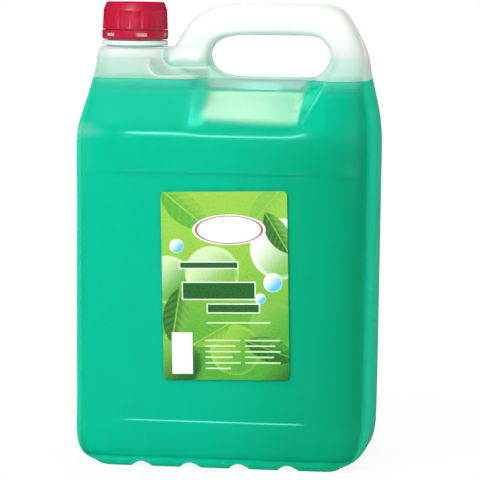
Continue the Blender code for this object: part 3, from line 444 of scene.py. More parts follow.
def parting_outline():
    """Where the rim of the front meets the parting plane: (x, height, depth of the rounding)."""
    grid = front_grid()
    foot = HALF_WIDTH - BASE_ROUND_OUT
    spread = foot / (HALF_WIDTH - CORNER_RADIUS - BASE_ROUND_BLEND)
    outline = {}
    for column, (x, _, _) in enumerate(grid[FOOT]):
        outline[FOOT, column] = (max(-foot, min(foot, x * spread)), 0.0, BASE_ROUND_FRONT)
    corner_x = HALF_WIDTH - BASE_ROUND_OUT * BASE_CORNER_SHARE
    corner_z = BASE_ROUND_UP * BASE_CORNER_SHARE
    outline[FOOT, LEFT] = (-corner_x, corner_z, BASE_CORNER_DROP)
    outline[FOOT, RIGHT] = (corner_x, corner_z, BASE_CORNER_DROP)
    rounding = {SLOPE: SLOPE_ROUNDING, LIP: HIP_ROUNDING, SHELF: COLLAR_ROUNDING}
    for row in range(PANEL_A, ROOT):
        height = grid[row][RIGHT][1]
        drop = CORNER_RADIUS * rounding.get(row, 1.0)
        outline[row, LEFT] = (-side_x(height), height, drop)
        outline[row, RIGHT] = (side_x(height) + LEG_HIP_SPREAD * (row >= SLOPE), height, drop)

    drop = HANDLE_EDGE_DROP
    edge = TURRET_EDGE_RADIUS
    low = HOLE_BOTTOM + HOLE_END_SHARE * HOLE_HEIGHT
    high = HOLE_TOP - HOLE_END_SHARE * HOLE_HEIGHT
    outline[SHELF, LEFT] = (TURRET_LEFT - TURRET_FOOT_OVERHANG, HOLE_BOTTOM + WEB_FOOT_RISE,
                            CORNER_RADIUS * COLLAR_ROUNDING)
    outline[SHELF, RIGHT] = (LEG_RIGHT + LEG_FOOT_SPREAD, low, drop * LEG_FOOT_ROUNDING)
    outline[ROOT, LEFT] = (TURRET_LEFT, TURRET_TOP, edge)
    outline[ROOT, SLAB_A] = (TURRET_RIGHT - WEB_TOP_START, TURRET_TOP, edge)
    outline[ROOT, SLAB_B] = (TURRET_RIGHT + WEB_TOP_MIDDLE, TURRET_TOP, drop)
    outline[ROOT, SLAB_EDGE] = (HOLE_LEFT - HANDLE_ROOT_LEAN, TURRET_TOP - WEB_TOP_DROP, drop)
    outline[BAR, SLAB_EDGE] = (HOLE_LEFT - HANDLE_NECK_LEAN, HOLE_TOP + HANDLE_NECK_RISE, drop)
    outline[CROWN, SLAB_EDGE] = (HOLE_LEFT - HANDLE_CROWN_LEAN, HANDLE_TOP - HANDLE_CROWN_DROP, drop)
    outline[CROWN, RECESS_A] = (HOLE_LEFT + HANDLE_CROWN_START, HANDLE_TOP, drop)
    outline[CROWN, RECESS_B] = (HOLE_MIDDLE_X, HANDLE_TOP, drop)
    outline[CROWN, RECESS_C] = (HOLE_RIGHT - HOLE_TOP_TURN, HANDLE_TOP, drop)
    outline[CROWN, CREASE] = (HOLE_RIGHT + HANDLE_CROWN_END, HANDLE_TOP, drop)
    outline[CROWN, RIGHT] = (LEG_RIGHT - HANDLE_HEEL_INSET, HANDLE_TOP - HANDLE_HEEL_DROP, drop)
    outline[BAR, RIGHT] = (LEG_RIGHT - LEG_TOP_INSET, HOLE_TOP + LEG_TOP_RISE, drop)
    outline[ROOT, RIGHT] = (LEG_RIGHT + LEG_MIDDLE_SPREAD, high, drop * LEG_TOP_ROUNDING)

    # Finger hole, a slot with round ends
    outline[LIP, RECESS_A] = (HOLE_LEFT + HOLE_END_START, HOLE_BOTTOM, drop)
    outline[LIP, RECESS_B] = (HOLE_MIDDLE_X, HOLE_BOTTOM, drop)
    outline[LIP, RECESS_C] = (HOLE_RIGHT - HOLE_TOP_TURN, HOLE_BOTTOM, drop)
    outline[LIP, CREASE] = (HOLE_RIGHT - HOLE_END_START, HOLE_BOTTOM, drop * HOLE_LIP_ROUNDING)
    outline[SHELF, CREASE] = (HOLE_RIGHT, low, drop * HOLE_FOOT_ROUNDING)
    outline[ROOT, CREASE] = (HOLE_RIGHT, high, drop * LEG_TOP_ROUNDING)
    outline[SHELF, RECESS_A] = (HOLE_LEFT, low, drop)
    outline[ROOT, RECESS_A] = (HOLE_LEFT, high, drop)
    outline[BAR, CREASE] = (HOLE_RIGHT - HOLE_END_START, HOLE_TOP, drop)
    outline[BAR, RECESS_C] = (HOLE_RIGHT - HOLE_TOP_TURN, HOLE_TOP, drop)
    outline[BAR, RECESS_B] = (HOLE_MIDDLE_X, HOLE_TOP, drop)
    outline[BAR, RECESS_A] = (HOLE_LEFT + HOLE_END_START, HOLE_TOP, drop)
    return outline


def moulded_edges():
    """Pairs of neighbouring grid points whose edge is crisper than the rest, with its crispness."""
    lines = [(TURRET_EDGE_CRISPNESS, [(ROOT, SLAB_A), (SHELF, SLAB_A), (LIP, SLAB_A), (LIP, SLAB_B),
                                      (LIP, SLAB_EDGE)]),
             (WEB_FOOT_CRISPNESS, [(ROOT, SLAB_B), (SHELF, SLAB_B), (SHELF, SLAB_EDGE)]),
             (RECESS_FOOT_CRISPNESS, [(LIP, RECESS_A), (LIP, RECESS_B), (LIP, RECESS_C)]),
             (RECESS_SIDE_CRISPNESS, [(SHOULDER, SLAB_EDGE), (SLOPE, SLAB_EDGE), (LIP, SLAB_EDGE)]),
             (RECESS_SIDE_CRISPNESS, [(SLOPE, RECESS_A), (LIP, RECESS_A)]),
             (RECESS_SIDE_CRISPNESS, [(SLOPE, RECESS_C), (LIP, RECESS_C)]),
             (COLUMN_EDGE_CRISPNESS, [(SHOULDER, CREASE), (SLOPE, CREASE), (LIP, CREASE)]),
             (SHOULDER_CRISPNESS, [(SHOULDER, column) for column in range(LEFT, RIGHT + 1)])]
    lines += [(PANEL_CRISPNESS, [(row, column) for column in range(LEFT, RIGHT + 1)])
              for row in (PANEL_A, PANEL_D, PANEL_E)]
    crispness = {}
    for amount, points in lines:
        for pair in zip(points, points[1:]):
            crispness[frozenset(pair)] = amount
    return crispness


def body_cage():
    """Control cage of the blown body: a front sheet rolled round its rim to the parting plane, mirrored."""
    rows = front_grid()
    outline = parting_outline()
    bm = bmesh.new()
    columns = len(rows[0])
    made = bmesh.ops.create_grid(bm, x_segments=columns - 1, y_segments=len(rows) - 1, size=1.0)
    place = {}
    for number, vertex in enumerate(made["verts"]):
        row, column = divmod(number, columns)
        place[vertex] = (row, column)
        if rows[row][column]:
            x, height, depth = rows[row][column]
            vertex.co = (x, -depth, height)
    inside = [face for face in bm.faces if not kept(min(place[v] for v in face.verts))]
    bmesh.ops.delete(bm, geom=inside, context="FACES")
    place = {vertex: key for vertex, key in place.items() if vertex.is_valid}

    crease = bm.edges.layers.float.new("crease_edge")
    crispness = moulded_edges()
    for edge in bm.edges:
        edge[crease] = crispness.get(frozenset(place[vertex] for vertex in edge.verts), 0.0)
    rim = [edge for edge in bm.edges if edge.is_boundary]
    for along, across, depth_kept in ((RIM_SHARE, 1.0 - RIM_SHARE, None), (1.0, 1.0, None), (1.0, 1.0, 0.0)):
        rolled = bmesh.ops.extrude_edge_only(bm, edges=rim)
        fresh = set(only(bmesh.types.BMVert, rolled["geom"]))
        rim = [edge for edge in only(bmesh.types.BMEdge, rolled["geom"]) if edge.is_boundary]
        for vertex in fresh:
            source = next(edge.other_vert(vertex) for edge in vertex.link_edges
                          if edge.other_vert(vertex) not in fresh)
            row, column = place[source]
            place[vertex] = (row, column)
            x, height, depth = rows[row][column]
            end_x, end_height, drop = outline[row, column]
            rounding = min(drop, depth * ROUNDING_LIMIT) * across
            kept_depth = depth - rounding if depth_kept is None else depth_kept
            vertex.co = (x + (end_x - x) * along, -kept_depth, height + (end_height - height) * along)
            if (row, column) == (ROOT, LEFT):
                for edge in vertex.link_edges:
                    if edge.other_vert(vertex) not in fresh:
                        edge[crease] = TURRET_CORNER_CRISPNESS
        if along == 1.0:
            for edge in rim:
                if all(place[v][0] == FOOT and abs(v.co.z) < HAIR for v in edge.verts):
                    edge[crease] = 1.0
    bmesh.ops.mirror(bm, geom=bm.verts[:] + bm.edges[:] + bm.faces[:], matrix=Matrix.Identity(4),
                     merge_dist=WELD, axis="Y")
    return bm


def kept(corner):
    """True where the sheet has material in the cell above and to the right of a grid corner."""
    row, column = corner
    if row < LIP:
        return True
    if row in (LIP, SHELF):
        return column < RECESS_A or column == CREASE
    if row == ROOT:
        return column in (SLAB_EDGE, CREASE)
    return column >= SLAB_EDGE


def body_form(name, inset, fineness=FORM_FINENESS):
    """The body as blown, its surface moved inwards by inset along its normals."""
    cage = formed(name, body_cage())
    rounding = cage.modifiers.new("Rounding", "SUBSURF")
    rounding.levels = fineness
    rounding.render_levels = fineness
    settled(cage)
    bm = bmesh.new()
    bm.from_mesh(cage.data)
    bmesh.ops.triangulate(bm, faces=bm.faces, quad_method="SHORT_EDGE")
    bm.normal_update()
    moved = {vertex: vertex.co - vertex.normal * inset for vertex in bm.verts}
    for vertex, place in moved.items():
        vertex.co = place
    bm.to_mesh(cage.data)
    bm.free()
    return cage


def foot_grooves(name, inset):
    """Arched bars that cut the grooves across the base, or their raised backs when inset."""
    bm = bmesh.new()
    half_width = FOOT_GROOVE_WIDTH / 2 + inset
    height = FOOT_GROOVE_HEIGHT + inset
    for number in range(FOOT_GROOVES):
        centre = (number - (FOOT_GROOVES - 1) / 2) * FOOT_GROOVE_PITCH
        arch = []
        for step in range(FOOT_GROOVE_STEPS + 1):
            share = 2.0 * step / FOOT_GROOVE_STEPS - 1.0
            rise = height * (1.0 - abs(share) ** FOOT_GROOVE_FULLNESS)
            arch.append(bm.verts.new((centre + share * half_width, -FOOT_GROOVE_LENGTH / 2, rise)))
        below = [bm.verts.new((centre + half_width, -FOOT_GROOVE_LENGTH / 2, -height)),
                 bm.verts.new((centre - half_width, -FOOT_GROOVE_LENGTH / 2, -height))]
        end = bm.faces.new(arch + below)
        far = bmesh.ops.extrude_face_region(bm, geom=[end])["geom"]
        bmesh.ops.translate(bm, verts=only(bmesh.types.BMVert, far), vec=(0.0, FOOT_GROOVE_LENGTH, 0.0))
    return formed(name, bm)


def neck_outline():
    """Outer form of the neck: flange, lock bead, threaded wall and pouring rim."""
    bead = RING_BOTTOM + RING_HEIGHT * LOCK_BEAD_SHARE
    rim = NECK_EDGE_RADIUS
    root = rim / 2
    bevel = rim * BEVEL_SHARE
    return [(0.0, NECK_ROOT), (NECK_RADIUS + OVERLAP, NECK_ROOT), (NECK_RADIUS + OVERLAP, FLANGE_BOTTOM),
            (FLANGE_RADIUS - rim, FLANGE_BOTTOM), (FLANGE_RADIUS - bevel, FLANGE_BOTTOM + bevel),
            (FLANGE_RADIUS, FLANGE_BOTTOM + rim), (FLANGE_RADIUS, FLANGE_TOP - rim),
            (FLANGE_RADIUS - bevel, FLANGE_TOP - bevel), (FLANGE_RADIUS - rim, FLANGE_TOP),
            (NECK_RADIUS + root, FLANGE_TOP), (NECK_RADIUS, FLANGE_TOP + root),
            (NECK_RADIUS, bead), (LOCK_BEAD_RADIUS, bead),
            (LOCK_BEAD_RADIUS, bead + LOCK_BEAD_LAND), (NECK_RADIUS, bead + LOCK_BEAD_HEIGHT),
            (NECK_RADIUS, NECK_TOP - rim), (NECK_RADIUS - bevel, NECK_TOP - bevel),
            (NECK_RADIUS - rim, NECK_TOP), (0.0, NECK_TOP)]


def bore():
    """Straight bore of the neck, which opens the cavity."""
    return turned([(0.0, NECK_ROOT), (NECK_BORE_RADIUS, NECK_ROOT),
                   (NECK_BORE_RADIUS, NECK_TOP + WALL), (0.0, NECK_TOP + WALL)])


shell = body_form("canister_shell", 0.0)
worked(shell, ("UNION", formed("neck_form", turned(neck_outline()))),
       ("UNION", formed("neck_thread", helical_ridge(NECK_RADIUS - OVERLAP, THREAD_CREST_RADIUS,
                                                     THREAD_BOTTOM, THREAD_START))),
       ("DIFFERENCE", foot_grooves("grooves", 0.0)))
cavity = body_form("cavity_form", WALL)
worked(cavity, ("DIFFERENCE", foot_grooves("groove_backs", WALL)), ("UNION", formed("bore_form", bore())))
worked(shell, ("DIFFERENCE", cavity))
smoothed(shell, BODY_SHARP_ANGLE)


def feed(tree, node, inputs):
    """Gives the inputs of a node their plain values and their links."""
    for socket, value in inputs.items():
        if isinstance(value, bpy.types.NodeSocket):
            tree.links.new(value, node.inputs[socket])
        else:
            node.inputs[socket].default_value = value


def add(tree, kind, inputs=(), **settings):
    """Shader node with its settings, its plain values and its links."""
    made = tree.nodes.new(kind)
    for key, value in settings.items():
        setattr(made, key, value)
    feed(tree, made, dict(inputs))
    return made


def between(tree, value, start, end, low=0.0, high=1.0):
    """Smooth change from low to high as the value goes from start to end."""
    made = add(tree, "ShaderNodeMapRange", {"Value": value, "From Min": start, "From Max": end,
                                            "To Min": low, "To Max": high}, interpolation_type="SMOOTHSTEP")
    return made.outputs["Result"]


def reckon(tree, operation, first, second=0.0, third=0.0):
    made = add(tree, "ShaderNodeMath", {0: first, 1: second, 2: third}, operation=operation)
    return made.outputs["Value"]


def product(tree, *masks):
    """Mask of what lies within all the given masks."""
    whole = masks[0]
    for mask in masks[1:]:
        whole = reckon(tree, "MULTIPLY", whole, mask)
    return whole


def within(tree, *limits):
    """Mask of the place where each value has passed its fade, from pairs of a value and its fade."""
    return product(tree, *(between(tree, value, *fade) for value, fade in limits))


def highest(tree, first, second):
    return reckon(tree, "MAXIMUM", first, second)


def blended(tree, share, first, second):
    """Colour between two colours."""
    made = add(tree, "ShaderNodeMix", {"Factor": share, 6: first, 7: second}, data_type="RGBA")
    return made.outputs[2]


def blended_value(tree, share, first, second):
    """Number between two numbers."""
    made = add(tree, "ShaderNodeMix", {"Factor": share, 2: first, 3: second}, data_type="FLOAT")
    return made.outputs[0]


def layered(tree, ground, *layers):
    """Colours laid over the ground in turn, from pairs of a mask and its colour."""
    for mask, colour in layers:
        ground = blended(tree, mask, ground, colour)
    return ground


def object_place(tree):
    return add(tree, "ShaderNodeTexCoord").outputs["Object"]


def axes_of(tree, vector):
    return add(tree, "ShaderNodeSeparateXYZ", {"Vector": vector}).outputs


def noise(tree, vector, scale, detail, **inputs):
    found = {"Vector": vector, "Scale": scale, "Detail": detail, **inputs}
    return add(tree, "ShaderNodeTexNoise", found).outputs["Fac"]


def new_finish(name):
    made = bpy.data.materials.new(name)
    made.use_nodes = True
    return made, made.node_tree, made.node_tree.nodes["Principled BSDF"]


def new_group(name, results, values=(), vectors=("Place",)):
    """Empty node group with its sockets, and what its input node gives."""
    group = bpy.data.node_groups.new(name, "ShaderNodeTree")
    for sockets, side, kind in ((vectors, "INPUT", "NodeSocketVector"), (values, "INPUT", "NodeSocketFloat"),
                                (results, "OUTPUT", "NodeSocketFloat")):
        for socket in sockets:
            group.interface.new_socket(socket, in_out=side, socket_type=kind)
    return group, group.nodes.new("NodeGroupInput").outputs


def handed_out(group, results):
    """The node group with its results linked to its outputs."""
    feed(group, group.nodes.new("NodeGroupOutput"), results)
    return group


def used(tree, group, **inputs):
    """What a node group gives for these inputs; an underscore stands for a space."""
    given = {socket.replace("_", " "): value for socket, value in inputs.items()}
    return add(tree, "ShaderNodeGroup", given, node_tree=group).outputs


def grain_group():
    """Unevenness of a moulded surface: a fine grain and a slow waviness, as heights."""
    group, given = new_group("moulded_grain", ("Height", "Mottle"),
                             ("Grain Scale", "Wave Scale", "Grain Share"))
    grain = noise(group, given["Place"], given["Grain Scale"], 2.0, Roughness=0.6)
    wave = noise(group, given["Place"], given["Wave Scale"], 3.0, Roughness=0.45)
    fine = reckon(group, "MULTIPLY", grain, given["Grain Share"])
    return handed_out(group, {"Height": reckon(group, "ADD", fine, wave), "Mottle": wave})


moulded_grain = grain_group()


def bumped(tree, height, strength, distance):
    inputs = {"Height": height, "Strength": strength, "Distance": distance}
    return add(tree, "ShaderNodeBump", inputs).outputs["Normal"]


def grained(tree, place, grain_scale, wave_scale, grain_share, strength, distance):
    """Normal of the moulded grain, and its mottle for the roughness."""
    grain = used(tree, moulded_grain, Place=place, Grain_Scale=grain_scale, Wave_Scale=wave_scale,
                 Grain_Share=grain_share)
    return bumped(tree, grain["Height"], strength, distance), grain["Mottle"]


# How sharply the surface curves where a ridge or a fold of the mould begins and is full
RIDGE_CURVE = (0.508, 0.530)
FOLD_CURVE = (0.492, 0.470)


def moulded_edge_group():
    """Masks of the ridges and of the folds of a blown form, taken from how its surface curves."""
    group, _ = new_group("moulded_edges", ("Ridge", "Fold"), vectors=())
    curve = add(group, "ShaderNodeNewGeometry").outputs["Pointiness"]
    return handed_out(group, {"Ridge": between(group, curve, *RIDGE_CURVE),
                              "Fold": between(group, curve, *FOLD_CURVE)})


moulded_edge = moulded_edge_group()

# Fades that bound the grip recess's masks; each starts at its first value and is full at its second
RECESS_LIP = HOLE_BOTTOM - RECESS_LIP_HEIGHT
RIPPLE_SCALE = 220.0
RIPPLE_REACH = 0.0012
WINDOW_LEFT = (RECESS_WALL_LEFT, RECESS_WALL_LEFT + 0.0050)
WINDOW_RIGHT = (RECESS_FLOOR_RIGHT + 0.0020, RECESS_FLOOR_RIGHT)
WINDOW_SLANT = 0.05
WINDOW_FOOT = (SHOULDER_HEIGHT + 0.0048, SHOULDER_HEIGHT + 0.0108)
WINDOW_HEAD = (RECESS_LIP + 0.0008, RECESS_LIP - 0.0008)
WINDOW_DEPTH = (0.060, 0.050)
MIST_LEFT = (RECESS_WALL_LEFT - 0.0060, RECESS_WALL_LEFT + 0.0040)
MIST_RIGHT = (CREASE_FOOT_X + 0.0180, CREASE_FOOT_X + 0.0080)
MIST_FOOT = (RECESS_LIP - 0.0006, RECESS_LIP + 0.0030)
MIST_DEPTH = (0.026, 0.018)
SIDE_LEFT = (RECESS_WALL_LEFT - 0.0060, RECESS_WALL_LEFT - 0.0030)
SIDE_RIGHT = (RECESS_WALL_LEFT + 0.0055, RECESS_WALL_LEFT + 0.0020)
SIDE_FOOT = (SHOULDER_HEIGHT + 0.0010, SHOULDER_HEIGHT + 0.0080)
SIDE_HEAD = (FILL_LEVEL + 0.0006, FILL_LEVEL - 0.0006)


def recess_group():
    """Masks of the grip recess: its thin soap, which light shows through, its lip and its left side."""
    group, given = new_group("grip_recess_light", ("Window", "Mist", "Side"))
    axes = axes_of(group, given["Place"])
    ripple = noise(group, given["Place"], RIPPLE_SCALE, 2.0)
    wander = reckon(group, "MULTIPLY_ADD", ripple, RIPPLE_REACH, -RIPPLE_REACH / 2)
    x = reckon(group, "ADD", axes["X"], wander)
    z = reckon(group, "ADD", axes["Z"], wander)
    half_depth = reckon(group, "ABSOLUTE", axes["Y"])
    slant = reckon(group, "MULTIPLY_ADD", x, WINDOW_SLANT, z)
    return handed_out(group, {
        "Window": within(group, (x, WINDOW_LEFT), (x, WINDOW_RIGHT), (slant, WINDOW_FOOT), (z, WINDOW_HEAD),
                         (half_depth, WINDOW_DEPTH)),
        "Mist": within(group, (x, MIST_LEFT), (x, MIST_RIGHT), (z, MIST_FOOT), (half_depth, MIST_DEPTH)),
        "Side": within(group, (axes["X"], SIDE_LEFT), (axes["X"], SIDE_RIGHT), (axes["Z"], SIDE_FOOT),
                       (axes["Z"], SIDE_HEAD))})


recess_light = recess_group()

# The two folds between the neck and the handle, painted as shade with a painted highlight along each: where
# each turns up, and how it fades across its line
WEB_LINE_TURN = 0.0070
WEB_LINE_START = TURRET_RIGHT + WEB_LINE_TURN
WEB_LINE_HEIGHT = HOLE_BOTTOM + WEB_FOOT_RISE + 0.0003
COLLAR_LINE_TURN = 0.0090
COLLAR_LINE_START = TURRET_RIGHT + 0.0020
COLLAR_LINE_HEIGHT = HOLE_BOTTOM + 0.0020
FOLD_WITHIN = (0.0048, 0.0002)
FOLD_WITHOUT = (-0.0004, 0.0002)
LIT_WITHOUT = (-0.0030, -0.0011)
LIT_WITHIN = (0.0002, -0.0010)
WEB_RIGHT = (HOLE_LEFT + 0.0040, HOLE_LEFT - 0.0010)
WEB_HEAD = (TURRET_TOP + 0.0010, TURRET_TOP - 0.0030)
WEB_DEPTH = (SLAB_HALF_DEPTH - 0.0060, SLAB_HALF_DEPTH - 0.0100)
COLLAR_RIGHT = (HOLE_LEFT + 0.0020, HOLE_LEFT - 0.0060)
COLLAR_HEAD = (WEB_LINE_HEIGHT + 0.0050, WEB_LINE_HEIGHT)
COLLAR_DEPTH = (SHELF_HALF_DEPTH + 0.0030, SHELF_HALF_DEPTH + 0.0060)


def fold_group():
    """Masks of a moulded fold that runs along the body and turns up beside the neck: fold and lit edge."""
    group, given = new_group("turning_fold", ("Fold", "Edge"), ("Start", "Height", "Turn"))
    axes = axes_of(group, given["Place"])
    beside = reckon(group, "MINIMUM", reckon(group, "SUBTRACT", axes["X"], given["Start"]), 0.0)
    centre = reckon(group, "ADD", given["Height"], given["Turn"])
    below = reckon(group, "MINIMUM", reckon(group, "SUBTRACT", axes["Z"], centre), 0.0)
    squares = reckon(group, "MULTIPLY_ADD", beside, beside, reckon(group, "MULTIPLY", below, below))
    inside = reckon(group, "SUBTRACT", given["Turn"], reckon(group, "SQRT", squares))
    return handed_out(group, {"Fold": within(group, (inside, FOLD_WITHIN), (inside, FOLD_WITHOUT)),
                              "Edge": within(group, (inside, LIT_WITHOUT), (inside, LIT_WITHIN))})


turning_fold = fold_group()


def fold_masks(tree, place, start, height, turn, *limits):
    """Fold and lit edge of one turning fold, each within the given limits."""
    masks = used(tree, turning_fold, Place=place, Start=start, Height=height, Turn=turn)
    reach = within(tree, *limits)
    return [product(tree, masks[name], reach) for name in ("Fold", "Edge")]


# Colours of the wall: wet where soap stands behind it, dry above the soap's level
WET_WALL = (0.001, 0.580, 0.360, 1.0)
# Painted shade: the wetted body is darker towards its right, below the shoulder, away from the key light.
WET_WALL_SHADED_RIGHT = (0.001, 0.480, 0.260, 1.0)
WET_LEVEL = (0.060, 0.600, 0.420, 1.0)
# Painted highlight on the moulded ridges, brighter along the shoulder's crest, and painted shade in the
# folds
WET_RIDGE_HIGHLIGHT = (0.120, 0.860, 0.680, 1.0)
WET_CREST_HIGHLIGHT = (0.550, 0.980, 0.930, 1.0)
WET_FOLD_SHADE = (0.001, 0.430, 0.270, 1.0)
WET_EDGE = (0.004, 0.760, 0.470, 1.0)
# Painted reflection: a pale grey-green rim where the wall is seen edge on
WET_RIM_REFLECTION = (0.100, 0.620, 0.420, 1.0)
# Painted light on the grip recess's left side, which faces away from the key light
WET_SIDE_LIT = (0.050, 0.800, 0.620, 1.0)
WET_SHEEN = (0.400, 1.000, 1.000, 1.0)
CLEAR_SHEEN = (1.000, 1.000, 1.000, 1.0)
DRY_WALL = (0.930, 0.960, 0.945, 1.0)
# Painted highlight on the dry ridges and painted shade in the dry folds
DRY_RIDGE_HIGHLIGHT = (0.880, 0.950, 0.920, 1.0)
DRY_FOLD_SHADE = (0.520, 0.800, 0.680, 1.0)
# Painted shade along the two folds beside the neck, green with soap film in them, and a painted highlight on
# their edges
WEB_FOLD_SHADE = (0.420, 0.770, 0.630, 1.0)
WEB_EDGE_HIGHLIGHT = (0.820, 0.970, 0.920, 1.0)
FLANGE_WALL = (0.700, 0.860, 0.800, 1.0)
MINT_WALL = (0.480, 0.830, 0.680, 1.0)
# Painted light: the mint is paler on the handle's right leg, which lies in shade
MINT_LEG_LIT = (0.620, 0.950, 0.830, 1.0)
# Painted light: the grip recess's window is pale where light shows through the thin soap
WINDOW_WALL_LIT = (0.560, 0.880, 0.700, 1.0)
# The recess's lip: pale where the soap is thin, greyed by painted shade
MIST_WALL_SHADED = (0.370, 0.620, 0.550, 1.0)

# How much of the wall covers what lies behind it
WET_COVER = 0.30
MIST_COVER = 0.70
DRY_COVER = 0.42
LEVEL_COVER = 0.70
EDGE_COVER = 1.00
RIDGE_COVER = 0.75
NECK_COVER = 0.92
HANDLE_COVER = 0.62
WEB_COVER = 0.55
LINE_COVER = 0.56

# Fades over the height, the width and the angle of view
# Pale mint band above the soap's level: its lower line, the wander of that line, a first step and a rise to
# full at the level
MINT_LINE = 0.2555
MINT_RAGGEDNESS = 0.006
MINT_STEP = (MINT_LINE + 0.0050, MINT_LINE + 0.0020, 0.0, 0.45)
MINT_RAMP = (MINT_LINE + 0.0090, FILL_LEVEL, 0.0, 0.55)
GRAZING = (0.45, 0.85)
OUTERMOST = (0.88, 0.97)
WET = (FILL_LEVEL + 0.0002, FILL_LEVEL - 0.0006)
LEVEL_FOOT = (FILL_LEVEL - 0.0120, FILL_LEVEL - 0.0010)
LEVEL_HEAD = (FILL_LEVEL - 0.0002, FILL_LEVEL - 0.0010)
RIDGE_RIGHT = (RECESS_FLOOR_RIGHT - 0.0040, RECESS_FLOOR_RIGHT)
RIDGE_HEAD = (SHOULDER_HEIGHT + 0.0060, SHOULDER_HEIGHT + 0.0030)
RIDGE_FOOT = (PANEL_FOOT - 0.0120, PANEL_FOOT - 0.0040)
CREST_RIGHT = (0.030, -0.035)
CREST_FOOT = (SHOULDER_HEIGHT - 0.0060, SHOULDER_HEIGHT - 0.0020)
CREST_HEAD = (SHOULDER_HEIGHT + 0.0100, SHOULDER_HEIGHT + 0.0060)
NECK_FOOT = (TURRET_TOP, FLANGE_BOTTOM)
NECK_RIGHT = (NECK_X + FLANGE_RADIUS + 0.0010, NECK_X + FLANGE_RADIUS)
FLANGE_HEAD = (FLANGE_TOP + 0.0004, FLANGE_TOP + 0.0001)
LEG_SIDE = (0.020, 0.060)
RIGHT_SIDE = (-0.010, 0.070)
RIGHT_HEAD = (SHOULDER_HEIGHT + 0.0100, SHOULDER_HEIGHT - 0.0150)
BASE_HEAD = (FOOT_GROOVE_HEIGHT + 0.0055, FOOT_GROOVE_HEIGHT + 0.0010)
MILKY = (MINT_LINE, TURRET_TOP + 0.0120, DRY_COVER, HANDLE_COVER)
GRIP_FOOT = (SHOULDER_HEIGHT - 0.0010, SHOULDER_HEIGHT + 0.0060)
GRIP_LEFT = (RECESS_WALL_LEFT - 0.0100, RECESS_WALL_LEFT - 0.0040)
GRIP_RIGHT = (RECESS_FLOOR_RIGHT + 0.0200, RECESS_FLOOR_RIGHT + 0.0140)
MOTTLE = (0.3, 0.7)

# Grain as its scale, the scale of its waves, the share of the fine grain, and the strength and depth
WALL_GRAIN = (700.0, 30.0, 0.10, 0.25, 0.0006)
WALL_ROUGHNESS = (0.20, 0.28)
WALL_INDEX = 1.51
WALL_SHINE = 0.45
MIST_SHINE = 0.08


